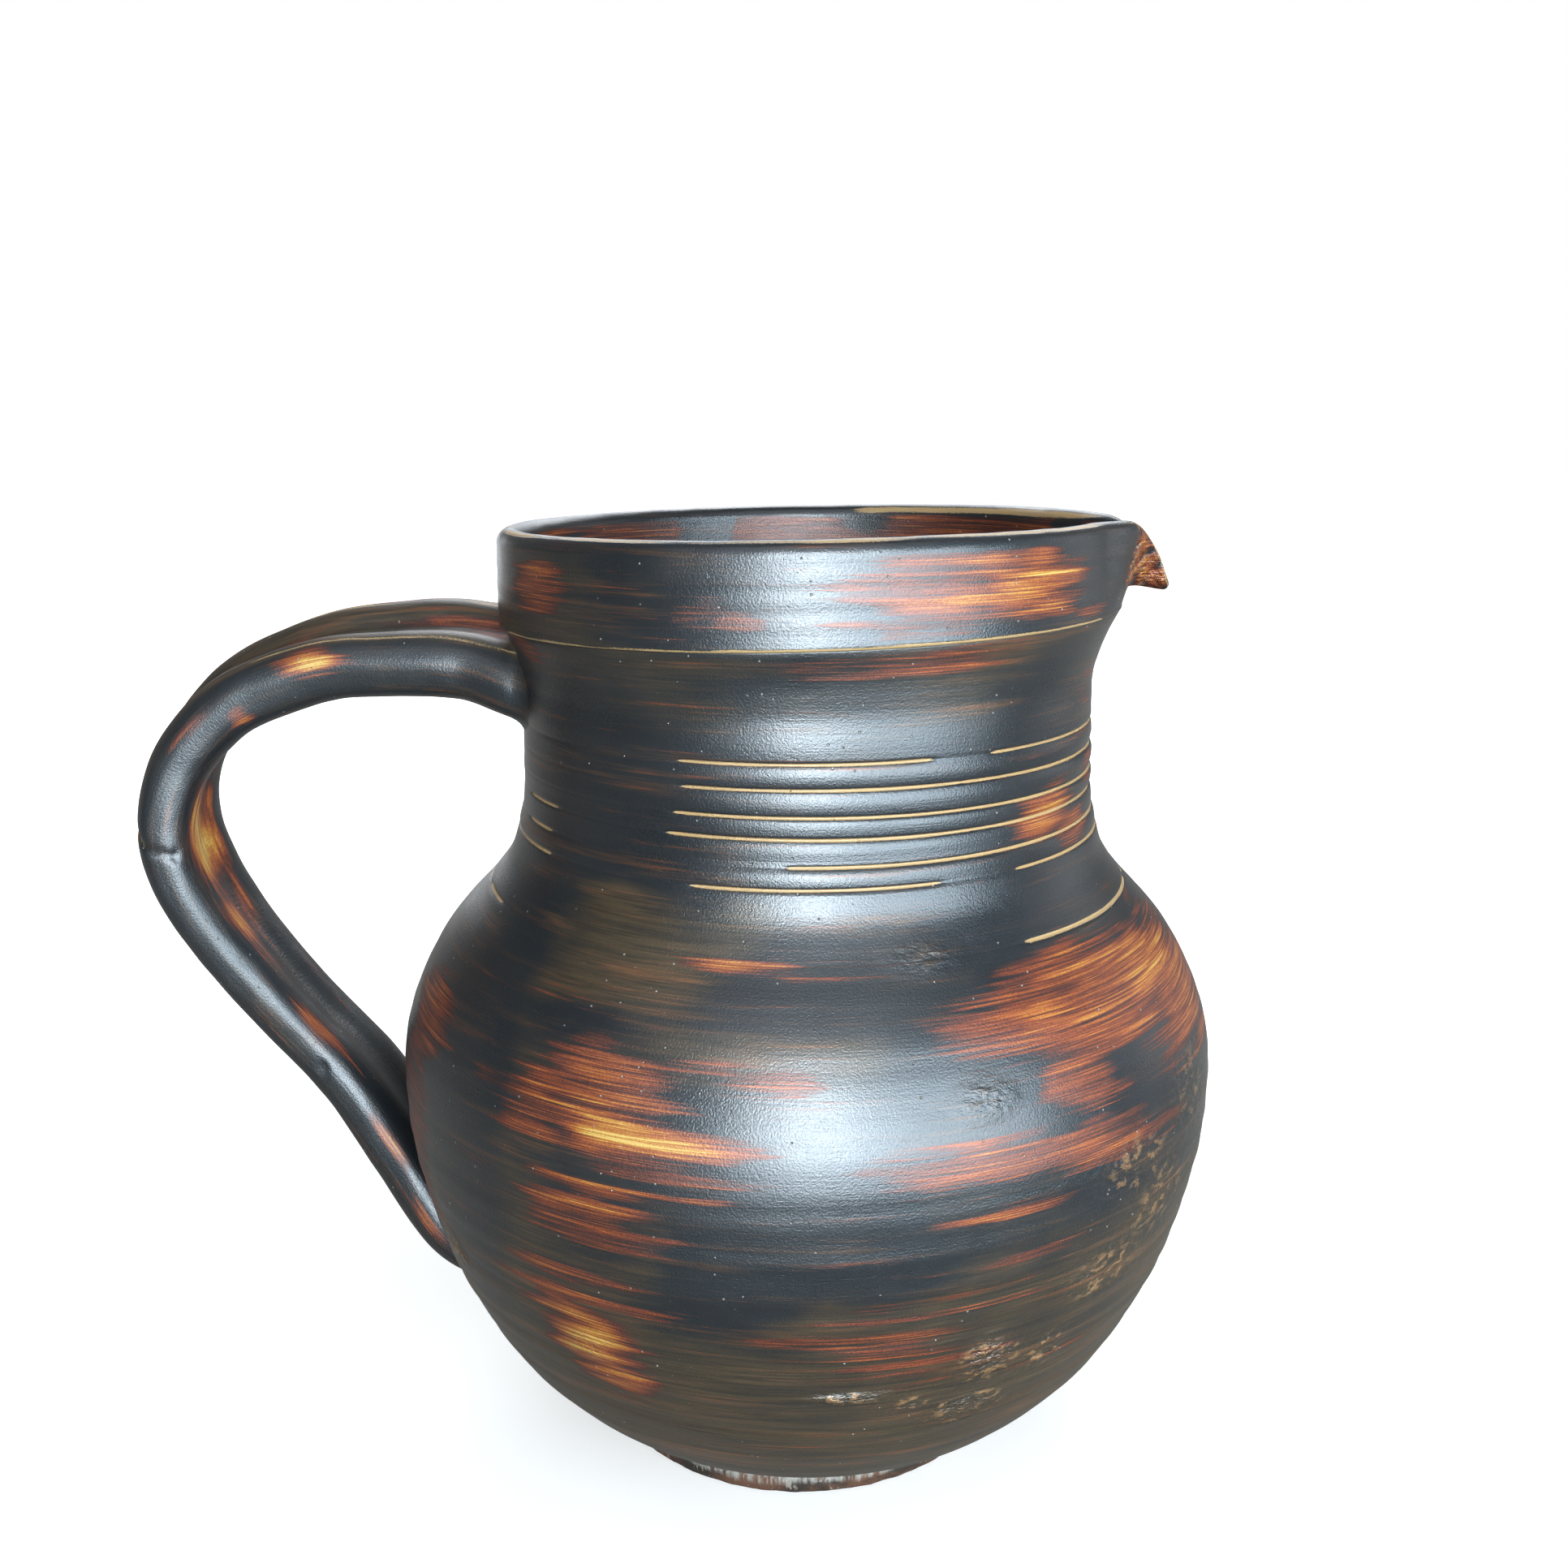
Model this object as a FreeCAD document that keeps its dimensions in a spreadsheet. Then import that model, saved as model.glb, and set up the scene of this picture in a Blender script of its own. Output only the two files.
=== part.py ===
import FreeCAD, Part
import math
import os

import Sketcher

# A wheel-thrown stoneware jug with a round mouth, one pulled beak and a pulled strap handle.
# Millimetres, +Z up. The origin is the centre of the ring that the jug stands on.
# The beak points towards +X and the handle towards -X.
# All radii and heights are those of the finished, glazed jug; the clay lies one glaze thickness inside.

document = FreeCAD.newDocument("Jug")
sizes = document.addObject("Spreadsheet::Sheet", "Sizes")
worked = document.addObject("Spreadsheet::Sheet", "Worked")


def fill_sheet(sheet, rows, first_mark=""):
    """Write one named cell for each row of a name and its value or formula."""
    for number, (alias, content) in enumerate(rows, start=1):
        sheet.set(f"A{number}", alias)
        sheet.set(f"B{number}", first_mark + str(content))
        sheet.setAlias(f"B{number}", alias)


# Driving sizes of the thrown wall, from the foot to the rim.
wall_sizes = (
    ("foot_height", 5.0),
    ("foot_radius", 43.5),
    ("foot_width", 8.0),
    ("foot_chamfer", 0.8),
    ("base_overhang", 2.5),
    ("equator_radius", 87.5),
    ("equator_height", 82.0),
    ("shoulder_share", 0.586),
    ("neck_radius", 59.7),
    ("neck_height", 15.7),
    ("flare_height", 14.0),
    ("flare_reach", 3.5),
    ("collar_height", 19.5),
    ("collar_step", 0.8),
    ("collar_width", 5.5),
    ("rim_height", 200.0),
    ("floor_thickness", 7.0),
    ("wall_thickness", 5.0),
    ("glaze_thickness", 0.6),
    ("glaze_line", 7.5),
)
# Driving sizes of the strap handle and of the luting slip under its two roots.
handle_sizes = (
    ("handle_drop", 0.9),
    ("handle_low", 40.0),
    ("handle_reach", 75.5),
    ("handle_thickness", 12.0),
    ("crown_share", 0.67),
    ("ridge_spacing", 14.0),
    ("channel_share", 0.62),
    ("slip_thickness", 1.2),
)
# Driving sizes of the pulled beak, and the length by which a cutting shape runs past what it cuts.
beak_sizes = (
    ("beak_reach", 12.5),
    ("beak_half_width", 19.0),
    ("beak_drop", 14.0),
    ("cut_overrun", 5.0),
)
fill_sheet(sizes, wall_sizes + handle_sizes + beak_sizes)
document.recompute()

# The wall's outline is a chain of tangent arcs. The lower arc rises from the base to the equator, the
# shoulder arc closes in to the seam, the neck arc turns up to the upright neck, and the flare arc
# leads out again to the small step under the collar. The heights of the neck are measured down from
# the rim, and its radii out from the upright neck. The shoulder share is the shoulder arc's part of the
# two radii that together lead from the equator to the waist.
base_step = "(Sizes.equator_radius - base_radius)"
base_rise = "(Sizes.equator_height - Sizes.foot_height)"
neck_step = "(Sizes.equator_radius - Sizes.neck_radius)"
neck_rise = "(waist_height - Sizes.equator_height)"
worked_sizes = (
    ("base_radius", "Sizes.foot_radius + Sizes.base_overhang"),
    ("collar_radius", "Sizes.neck_radius + Sizes.flare_reach + Sizes.collar_step"),
    ("mouth_radius", "collar_radius - Sizes.collar_width"),
    ("collar_low", "Sizes.rim_height - Sizes.collar_height"),
    ("flare_low", "collar_low - Sizes.flare_height"),
    ("waist_height", "flare_low - Sizes.neck_height"),
    ("lower_curve", f"({base_rise}^2 + {base_step}^2) / (2 * {base_step})"),
    ("lower_centre", "Sizes.equator_radius - lower_curve"),
    ("both_curves", f"({neck_rise}^2 + {neck_step}^2) / (2 * {neck_step})"),
    ("shoulder_curve", "Sizes.shoulder_share * both_curves"),
    ("shoulder_centre", "Sizes.equator_radius - shoulder_curve"),
    ("neck_curve", "both_curves - shoulder_curve"),
    ("seam_sine", f"{neck_rise} / both_curves"),
    ("seam_cosine", f"1 - {neck_step} / both_curves"),
    ("seam_radius", "shoulder_centre + shoulder_curve * seam_cosine"),
    ("seam_height", "Sizes.equator_height + shoulder_curve * seam_sine"),
    ("flare_curve", "(Sizes.flare_reach^2 + Sizes.flare_height^2) / (2 * Sizes.flare_reach)"),
    ("lip_centre", "(collar_radius + mouth_radius) / 2"),
    ("lip_curve", "Sizes.collar_width / 2 - Sizes.glaze_thickness"),
    ("lip_height", "Sizes.rim_height - Sizes.glaze_thickness - lip_curve"),
    ("handle_top", "collar_low - Sizes.handle_drop - Sizes.crown_share * Sizes.handle_thickness"),
)

# The strap's centre line, from inside the neck wall, out and down, to its tail inside the belly wall. Its
# top is set by the gap under the collar and by the crown share, the strap's half thickness at the root.
# Each row: share of the way from the neck's radius to the equator's, share of the handle's reach, share
# of the rise from its low end to its top, and the shares of its ridge spacing and of its thickness.
# The rows whose first share is 1 stand off the belly wall at their own height instead.
strap_shares = (
    (0.00, -0.130, 0.992, 1.86, 1.38),
    (0.00, 0.060, 1.000, 1.64, 1.34),
    (0.00, 0.320, 1.007, 1.30, 1.29),
    (0.10, 0.580, 0.975, 1.10, 1.22),
    (0.25, 0.760, 0.901, 1.00, 1.14),
    (0.40, 0.842, 0.777, 0.98, 1.04),
    (0.55, 0.782, 0.642, 0.98, 1.00),
    (0.70, 0.577, 0.485, 0.97, 1.00),
    (0.85, 0.326, 0.341, 0.97, 1.00),
    (1.00, 0.115, 0.208, 1.12, 0.96),
    (1.00, 0.051, 0.083, 1.40, 0.80),
    (1.00, 0.025, -0.010, 1.60, 0.60),
    (1.00, -0.043, -0.055, 1.60, 0.42),
)


def strap_rows():
    """The named cells of the strap's stations: place across, height and turn of each section."""
    last = len(strap_shares) - 1
    rows = []
    for number, (belly, reach, rise, _, _) in enumerate(strap_shares):
        if belly < 1:
            wall = f"Sizes.neck_radius + {belly} * {neck_step}"
        else:
            wall = f"lower_centre + sqrt(lower_curve^2 - (Sizes.equator_height - strap_up_{number})^2)"
        rows.append((f"strap_across_{number}", f"0 - ({wall} + {reach} * Sizes.handle_reach)"))
        rows.append((f"strap_up_{number}", f"Sizes.handle_low + {rise} * (handle_top - Sizes.handle_low)"))
    for number in range(last + 1):
        before, after = max(number - 1, 0), min(number + 1, last)
        across = f"strap_across_{after} - strap_across_{before}"
        up = f"strap_up_{after} - strap_up_{before}"
        rows.append((f"strap_turn_{number}", f"atan2({across}; {up}) / 1deg"))
    return tuple(rows)


fill_sheet(worked, worked_sizes + strap_rows(), first_mark="=")
document.recompute()


def value_of(expression):
    """The present number of an expression on the two sheets."""
    return float(sizes.evalExpression(expression))


def new_body(name):
    return document.addObject("PartDesign::Body", name)


def new_sketch(body, name, role):
    """An empty sketch on one of the body's own origin planes."""
    sketch = body.newObject("Sketcher::SketchObject", name)
    plane = next(item for item in body.Origin.OriginFeatures if item.Role == role)
    sketch.AttachmentSupport = [(plane, "")]
    sketch.MapMode = "FlatFace"
    return sketch


# Sketcher's own numbers for the two axes, for the points of an edge and for the origin.
ACROSS_AXIS, UP_AXIS = range(-1, -3, -1)
START, END, CENTRE = range(1, 4)
ORIGIN = (ACROSS_AXIS, START)


def bind_place(sketch, edge, point, kind, expression):
    """Tie one coordinate of a point to an expression."""
    value = value_of(expression)
    if value == 0.0:
        axis = UP_AXIS if kind == "DistanceX" else ACROSS_AXIS
        sketch.addConstraint(Sketcher.Constraint("PointOnObject", edge, point, axis))
        return
    if value > 0.0:
        ends = (*ORIGIN, edge, point)
    else:
        ends = (edge, point, *ORIGIN)
        expression = f"0 - ({expression})"
    number = sketch.addConstraint(Sketcher.Constraint(kind, *ends, abs(value)))
    sketch.setExpression(f"Constraints[{number}]", expression)


def draw_outline(sketch, corners):
    """Draw a closed outline. Each corner is (place, edge): the place is two expressions, and the edge
    to the next corner is None for a straight line or (centre, turn) for an arc, turn 1 being
    anticlockwise and -1 clockwise."""
    places = [FreeCAD.Vector(value_of(across), value_of(up), 0) for (across, up), _ in corners]
    first_points, last_points = [], []
    for number, (_, arc) in enumerate(corners):
        here, there = places[number], places[(number + 1) % len(corners)]
        if arc is None:
            sketch.addGeometry(Part.LineSegment(here, there))
            first_points.append(START)
            last_points.append(END)
            continue
        (across, up), turn = arc
        middle = FreeCAD.Vector(value_of(across), value_of(up), 0)
        first, last = (here, there) if turn > 0 else (there, here)
        first_angle = math.atan2(first.y - middle.y, first.x - middle.x)
        last_angle = math.atan2(last.y - middle.y, last.x - middle.x)
        circle = Part.Circle(middle, FreeCAD.Vector(0, 0, 1), (here - middle).Length)
        sketch.addGeometry(Part.ArcOfCircle(circle, first_angle, last_angle))
        first_points.append(START if turn > 0 else END)
        last_points.append(END if turn > 0 else START)
    for number, ((across, up), arc) in enumerate(corners):
        following = (number + 1) % len(corners)
        joint = (number, last_points[number], following, first_points[following])
        sketch.addConstraint(Sketcher.Constraint("Coincident", *joint))
        bind_place(sketch, number, first_points[number], "DistanceX", across)
        bind_place(sketch, number, first_points[number], "DistanceY", up)
    for number, (_, arc) in enumerate(corners):
        if arc is None:
            continue
        chord = places[(number + 1) % len(corners)] - places[number]
        (across, up), _ = arc
        if abs(chord.y) > abs(chord.x):
            bind_place(sketch, number, CENTRE, "DistanceX", across)
        else:
            bind_place(sketch, number, CENTRE, "DistanceY", up)


def turned_body(name, corners):
    """A body turned on the wheel: an outline in the upright plane, revolved about the jug's axis."""
    body = new_body(name)
    sketch = new_sketch(body, f"{name}_outline", "XZ_Plane")
    draw_outline(sketch, corners)
    turned = body.newObject("PartDesign::Revolution", f"{name}_turned")
    turned.Profile = sketch
    turned.ReferenceAxis = (sketch, ["V_Axis"])
    turned.Angle = 360
    sketch.Visibility = False
    return body


# Corners of the wall's outline at a depth below the finished outer surface.
LOWER_ARC = ("Worked.lower_centre", "Sizes.equator_height")
SHOULDER_ARC = ("Worked.shoulder_centre", "Sizes.equator_height")
NECK_ARC = ("Sizes.neck_radius + Worked.neck_curve", "Worked.waist_height")
FLARE_ARC = ("Sizes.neck_radius + Worked.flare_curve", "Worked.flare_low")
LIP_ARC = ("Worked.lip_centre", "Worked.lip_height")


def at_height(depth, height):
    """The point of the lower arc at a height."""
    reach = f"(Worked.lower_curve - {depth})^2 - (Sizes.equator_height - {height})^2"
    return (f"Worked.lower_centre + sqrt({reach})", height)


def at_equator(depth):
    return (f"Sizes.equator_radius - {depth}", "Sizes.equator_height")


def at_seam(depth):
    """The point where the shoulder arc meets the neck arc. The seam runs square to the wall."""
    across = f"Worked.seam_radius - {depth} * Worked.seam_cosine"
    return (across, f"Worked.seam_height - {depth} * Worked.seam_sine")


def at_waist(depth):
    return (f"Sizes.neck_radius - {depth}", "Worked.waist_height")


def collar_inside(depth):
    """The inside corner at the height where the collar's clay begins."""
    return (f"Sizes.neck_radius - {depth}", f"Worked.collar_low + {clay}")


def step_corner(depth):
    """The outer corner of the step under the collar."""
    return (f"Worked.collar_radius - {depth}", f"Worked.collar_low + {depth}")


def flare_end(depth):
    """Where the flare meets the step under the collar."""
    arc_across, arc_up = FLARE_ARC
    rise = f"(Worked.collar_low + {depth} - {arc_up})"
    across = f"{arc_across} - sqrt((Worked.flare_curve + {depth})^2 - {rise}^2)"
    return (across, f"Worked.collar_low + {depth}")


def flare_start(depth):
    return (f"Sizes.neck_radius - {depth}", FLARE_ARC[1])


def up_the_wall(depth, height):
    """Corners from a height near the base up to the waist of the neck."""
    return [
        (at_height(depth, height), (LOWER_ARC, 1)),
        (at_equator(depth), (SHOULDER_ARC, 1)),
        (at_seam(depth), (NECK_ARC, -1)),
        (at_waist(depth), None),
    ]


def down_the_wall(depth, height):
    """The same corners from the waist down to a height near the base."""
    return [
        (at_waist(depth), (NECK_ARC, 1)),
        (at_seam(depth), (SHOULDER_ARC, -1)),
        (at_equator(depth), (LOWER_ARC, -1)),
        (at_height(depth, height), None),
    ]


surface = "0"
clay = "Sizes.glaze_thickness"
inside = "(Sizes.glaze_thickness + Sizes.wall_thickness)"
liner = "(2 * Sizes.glaze_thickness + Sizes.wall_thickness)"
base = "Sizes.foot_height"
floor = "(Sizes.foot_height + Sizes.floor_thickness)"
glazed_floor = "(Sizes.foot_height + Sizes.floor_thickness + Sizes.glaze_thickness)"
axis = "0"

# Belly: the thrown bowl, with the floor it was opened from.
belly = turned_body("belly", [
    ((axis, base), None),
    (at_height(clay, base), (LOWER_ARC, 1)),
    (at_equator(clay), (SHOULDER_ARC, 1)),
    (at_seam(clay), None),
    (at_seam(inside), (SHOULDER_ARC, -1)),
    (at_equator(inside), (LOWER_ARC, -1)),
    (at_height(inside, floor), None),
    ((axis, floor), None),
])

# Neck: the thrown cylinder that grows out of the shoulder and flares into the collar.
neck = turned_body("neck", [
    (at_seam(clay), (NECK_ARC, -1)),
    (at_waist(clay), None),
    (flare_start(clay), (FLARE_ARC, -1)),
    (flare_end(clay), None),
    (collar_inside(inside), None),
    (at_waist(inside), (NECK_ARC, 1)),
    (at_seam(inside), None),
])

# Foot ring: the low turned ring under the base, of bare clay, with its two standing edges taken off.
ring_inside = "(Sizes.foot_radius - Sizes.foot_width)"
foot_ring = turned_body("foot_ring", [
    ((f"{ring_inside} + Sizes.foot_chamfer", axis), None),
    (("Sizes.foot_radius - Sizes.foot_chamfer", axis), None),
    (("Sizes.foot_radius", "Sizes.foot_chamfer"), None),
    (("Sizes.foot_radius", base), None),
    ((ring_inside, base), None),
    ((ring_inside, "Sizes.foot_chamfer"), None),
])

# Collar: the thick band round the mouth, with a full round lip. The beak's throat is cut through it later.
collar_outside = (f"Worked.collar_radius - {clay}", "Worked.lip_height")
mouth_inside = (f"Worked.mouth_radius + {clay}", "Worked.lip_height")
collar_band = turned_body("collar_band", [
    (collar_inside(inside), None),
    (step_corner(clay), None),
    (collar_outside, (LIP_ARC, 1)),
    (mouth_inside, None),
])

# Glaze over the outside and the lip, and the liner glaze that makes the inside hold water.
outer_coat = turned_body("outer_coat", [
    *up_the_wall(surface, "Sizes.glaze_line"),
    (flare_start(surface), (FLARE_ARC, -1)),
    (flare_end(surface), None),
    (step_corner(surface), None),
    (("Worked.collar_radius", "Worked.lip_height"), (LIP_ARC, 1)),
    (("Worked.mouth_radius", "Worked.lip_height"), None),
    (mouth_inside, (LIP_ARC, -1)),
    (collar_outside, None),
    (step_corner(clay), None),
    (flare_end(clay), (FLARE_ARC, 1)),
    (flare_start(clay), None),
    *down_the_wall(clay, "Sizes.glaze_line"),
])
liner_coat = turned_body("liner_coat", [
    ((axis, floor), None),
    *up_the_wall(inside, floor),
    (collar_inside(inside), None),
    (mouth_inside, None),
    (("Worked.mouth_radius", "Worked.lip_height"), None),
    (collar_inside(liner), None),
    *down_the_wall(liner, glazed_floor),
    ((axis, glazed_floor), None),
])


def envelope(name, depth):
    """The jug as one full shape out to a depth, for trimming what is attached to its outside."""
    above_rim = "Sizes.rim_height + Sizes.cut_overrun"
    return turned_body(name, [
        ((axis, base), None),
        *up_the_wall(depth, base),
        (flare_start(depth), (FLARE_ARC, -1)),
        (flare_end(depth), None),
        (step_corner(depth), None),
        ((f"Worked.collar_radius - {depth}", above_rim), None),
        ((axis, above_rim), None),
    ])


clay_envelope = envelope("clay_envelope", clay)
slip_envelope = envelope("slip_envelope", "(Sizes.glaze_thickness - Sizes.slip_thickness)")


def strap(name, trim):
    """The pulled strap: two round ridges with a channel between them on both faces, lofted along its
    centre line. The trim takes it down from the glazed surface to the clay."""
    body = new_body(name)
    sections = []
    for number, (_, _, _, spacing, thickness) in enumerate(strap_shares):
        sketch = new_sketch(body, f"{name}_section_{number}", "XY_Plane")
        across, up = f"Worked.strap_across_{number}", f"Worked.strap_up_{number}"
        turn = f"Worked.strap_turn_{number}"
        place = FreeCAD.Vector(value_of(across), 0, value_of(up))
        rotation = FreeCAD.Rotation(FreeCAD.Vector(0, 1, 0), value_of(turn))
        sketch.AttachmentOffset = FreeCAD.Placement(place, rotation)
        sketch.setExpression("AttachmentOffset.Base.x", across)
        sketch.setExpression("AttachmentOffset.Base.z", up)
        sketch.setExpression("AttachmentOffset.Rotation.Angle", turn)
        half = f"({thickness} * Sizes.handle_thickness / 2 - {trim})"
        waist = f"(Sizes.channel_share * {thickness} * Sizes.handle_thickness / 2 - {trim})"
        ridge = f"({spacing} * Sizes.ridge_spacing / 2)"
        depth = f"({half} - {waist})"
        channel = f"({waist} + ({ridge}^2 + {depth}^2) / (2 * {depth}))"
        draw_outline(sketch, [
            ((half, f"0 - {ridge}"), ((channel, axis), -1)),
            ((half, ridge), ((axis, ridge), 1)),
            ((f"0 - {half}", ridge), ((f"0 - {channel}", axis), -1)),
            ((f"0 - {half}", f"0 - {ridge}"), ((axis, f"0 - {ridge}"), 1)),
        ])
        sketch.Visibility = False
        sections.append(sketch)
    loft = body.newObject("PartDesign::AdditiveLoft", f"{name}_pulled")
    loft.Profile = sections[0]
    loft.Sections = sections[1:]
    return body


strap_surface = strap("strap_surface", surface)
strap_clay = strap("strap_clay", clay)

# The beak and its throat, in sections square to the way the jug pours. Each row: share of the reach
# past the collar, share of the half width, and shares of the drop to the top and bottom of the section.
# The first row stands at the root: its first share is one of the collar's width, counted from where the
# section's width meets the collar, or for the throat the mouth.
beak_shares = (
    (-0.60, 1.500, 0.00, 1.14),
    (-0.16, 1.000, 0.02, 1.06),
    (0.40, 0.553, 0.20, 0.96),
    (0.76, 0.337, 0.50, 0.96),
    (1.00, 0.180, 0.81, 1.00),
)
throat_shares = (
    (-0.25, 1.260, 0.00, 0.82),
    (-0.16, 0.820, 0.02, 0.83),
    (0.40, 0.390, 0.20, 0.75),
    (0.76, 0.220, 0.50, 0.77),
    (1.10, 0.115, 0.84, 0.90),
)


def poured_form(name, shares, root_radius, open_above):
    """A loft through hanging bow sections; the throat's are carried straight up past the rim."""
    body = new_body(name)
    sections = []
    for number, (reach, width, top, bottom) in enumerate(shares):
        sketch = new_sketch(body, f"{name}_section_{number}", "YZ_Plane")
        side = f"({width} * Sizes.beak_half_width)"
        if number == 0:
            along = f"sqrt({root_radius}^2 - {side}^2) + {reach} * Sizes.collar_width"
        else:
            along = f"Worked.collar_radius + {reach} * Sizes.beak_reach"
        sketch.AttachmentOffset = FreeCAD.Placement(FreeCAD.Vector(0, 0, value_of(along)), FreeCAD.Rotation())
        sketch.setExpression("AttachmentOffset.Base.z", along)
        high = f"(Sizes.rim_height - {top} * Sizes.beak_drop)"
        low = f"(Sizes.rim_height - {bottom} * Sizes.beak_drop)"
        hang = f"({high} - {low})"
        middle = (axis, f"{low} + ({side}^2 + {hang}^2) / (2 * {hang})")
        corners = [((f"0 - {side}", high), (middle, 1)), ((side, high), None)]
        if open_above:
            above = "Sizes.rim_height + Sizes.cut_overrun"
            corners += [((side, above), None), ((f"0 - {side}", above), None)]
        draw_outline(sketch, corners)
        sketch.Visibility = False
        sections.append(sketch)
    loft = body.newObject("PartDesign::AdditiveLoft", f"{name}_pulled")
    loft.Profile = sections[0]
    loft.Sections = sections[1:]
    return body


beak_block = poured_form("beak_block", beak_shares, "Worked.collar_radius", open_above=False)
throat = poured_form("throat", throat_shares, "Worked.mouth_radius", open_above=True)


def boolean(kind, name, base_shape, tool):
    item = document.addObject(f"Part::{kind}", name)
    item.Base = base_shape
    item.Tool = tool
    return item


def zone(name, low, high):
    """A box over the handle's side of the jug between two heights, to tell the two roots apart."""
    box = document.addObject("Part::Box", name)
    side = "2 * (Sizes.neck_radius + Sizes.handle_reach + Sizes.equator_radius)"
    box.setExpression("Length", side)
    box.setExpression("Width", side)
    box.setExpression("Height", f"{high} - {low}")
    box.setExpression("Placement.Base.x", f"0 - {side}")
    box.setExpression("Placement.Base.y", f"0 - {side} / 2")
    box.setExpression("Placement.Base.z", low)
    return box


# Handle: the strap where it stands clear of the wall, on a pad of luting slip at each end.
handle = boolean("Cut", "handle", strap_clay, slip_envelope)
strap_coat = boolean("Cut", "strap_coat", strap_surface, strap_clay)
handle_glaze = boolean("Cut", "handle_glaze", strap_coat, slip_envelope)
strap_in_slip = boolean("Common", "strap_in_slip", strap_surface, slip_envelope)
root_pads = boolean("Cut", "root_pads", strap_in_slip, clay_envelope)
lower_zone = zone("lower_zone", base, "Worked.seam_height")
upper_zone = zone("upper_zone", "Worked.seam_height", "(Sizes.rim_height + Sizes.cut_overrun)")
upper_slip = boolean("Common", "upper_slip", root_pads, upper_zone)
lower_slip = boolean("Common", "lower_slip", root_pads, lower_zone)

# Beak: the pulled lip outside the collar, and the throat cut from the mouth to its tip.
collar = boolean("Cut", "collar", collar_band, throat)
open_beak = boolean("Cut", "open_beak", beak_block, throat)
spout = boolean("Cut", "spout", open_beak, clay_envelope)

# Glaze coats: the outer one stops at the handle's roots and round the beak.
coat_past_roots = boolean("Cut", "coat_past_roots", outer_coat, strap_surface)
coat_past_beak = boolean("Cut", "coat_past_beak", coat_past_roots, beak_block)
outer_glaze = boolean("Cut", "outer_glaze", coat_past_beak, throat)
liner_glaze = boolean("Cut", "liner_glaze", liner_coat, throat)

nodes = (
    foot_ring, belly, neck, collar, spout, handle, upper_slip, lower_slip,
    outer_glaze, liner_glaze, handle_glaze,
)
document.recompute()

for item in document.Objects:
    if {"Invalid", "Error"} & set(item.State):
        raise RuntimeError(f"{item.Name} did not compute: {item.State}")
for node in nodes:
    if node.Shape.isNull() or not node.Shape.isValid():
        raise RuntimeError(f"{node.Name} has no valid shape")

os.makedirs("parts", exist_ok=True)
for node in nodes:
    node.Label = node.Name
    node.Shape.exportStep(f"parts/{node.Label}.step")
    box = node.Shape.BoundBox
    extent = f"{box.XMin:.1f} {box.XMax:.1f}, {box.YMin:.1f} {box.YMax:.1f}, {box.ZMin:.1f} {box.ZMax:.1f}"
    print(f"{node.Label}: {len(node.Shape.Solids)} solid, {node.Shape.Volume:.0f} mm3, {extent}")
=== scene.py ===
import math

import bmesh
import bpy
import numpy as np
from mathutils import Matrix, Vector, noise


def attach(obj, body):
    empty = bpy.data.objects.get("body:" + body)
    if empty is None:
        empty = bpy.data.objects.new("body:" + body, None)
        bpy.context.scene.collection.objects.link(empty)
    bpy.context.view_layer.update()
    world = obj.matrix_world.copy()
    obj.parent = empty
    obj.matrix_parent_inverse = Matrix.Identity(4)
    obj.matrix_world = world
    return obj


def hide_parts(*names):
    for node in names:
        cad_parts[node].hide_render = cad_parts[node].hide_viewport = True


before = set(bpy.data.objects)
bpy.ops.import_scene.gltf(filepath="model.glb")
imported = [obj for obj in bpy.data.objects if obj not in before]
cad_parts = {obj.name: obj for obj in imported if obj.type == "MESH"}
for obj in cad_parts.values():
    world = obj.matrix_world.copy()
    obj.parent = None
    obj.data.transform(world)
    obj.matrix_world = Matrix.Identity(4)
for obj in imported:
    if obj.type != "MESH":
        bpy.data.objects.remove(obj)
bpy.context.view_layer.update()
MM = 0.001


# The thrown body: belly, shoulder and neck of one stoneware wall, glazed inside and out.
# It was turned on the wheel, so its outline is spun about the upright axis. Lines were scored
# round the neck with a point before the glaze went on, and one more round the shoulder.
def arc(across, up, radius, first, last, steps):
    """Points of an arc from one angle to another, in degrees."""
    angles = [math.radians(first + (last - first) * i / steps) for i in range(steps + 1)]
    return [(across + radius * math.cos(a), up + radius * math.sin(a)) for a in angles]


def eased(places, value):
    """Read a table of (place, amount) with soft steps between its rows."""
    xs, ys = np.array(places, float).T
    value = np.clip(np.asarray(value, float), xs[0], xs[-1])
    at = np.clip(np.searchsorted(xs, value, side="right") - 1, 0, len(xs) - 2)
    share = (value - xs[at]) / (xs[at + 1] - xs[at])
    return ys[at] + (ys[at + 1] - ys[at]) * share * share * (3 - 2 * share)


wall_line = np.array(
    arc(-4.67, 82, 92.17, -56.65, 0, 60) + arc(29.47, 82, 58.03, 0, 44, 40)[1:]
    + arc(100.7, 150.8, 41, 224, 180, 30)[1:] + arc(89.45, 166.5, 29.75, 180, 151.93, 20)
)
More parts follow.
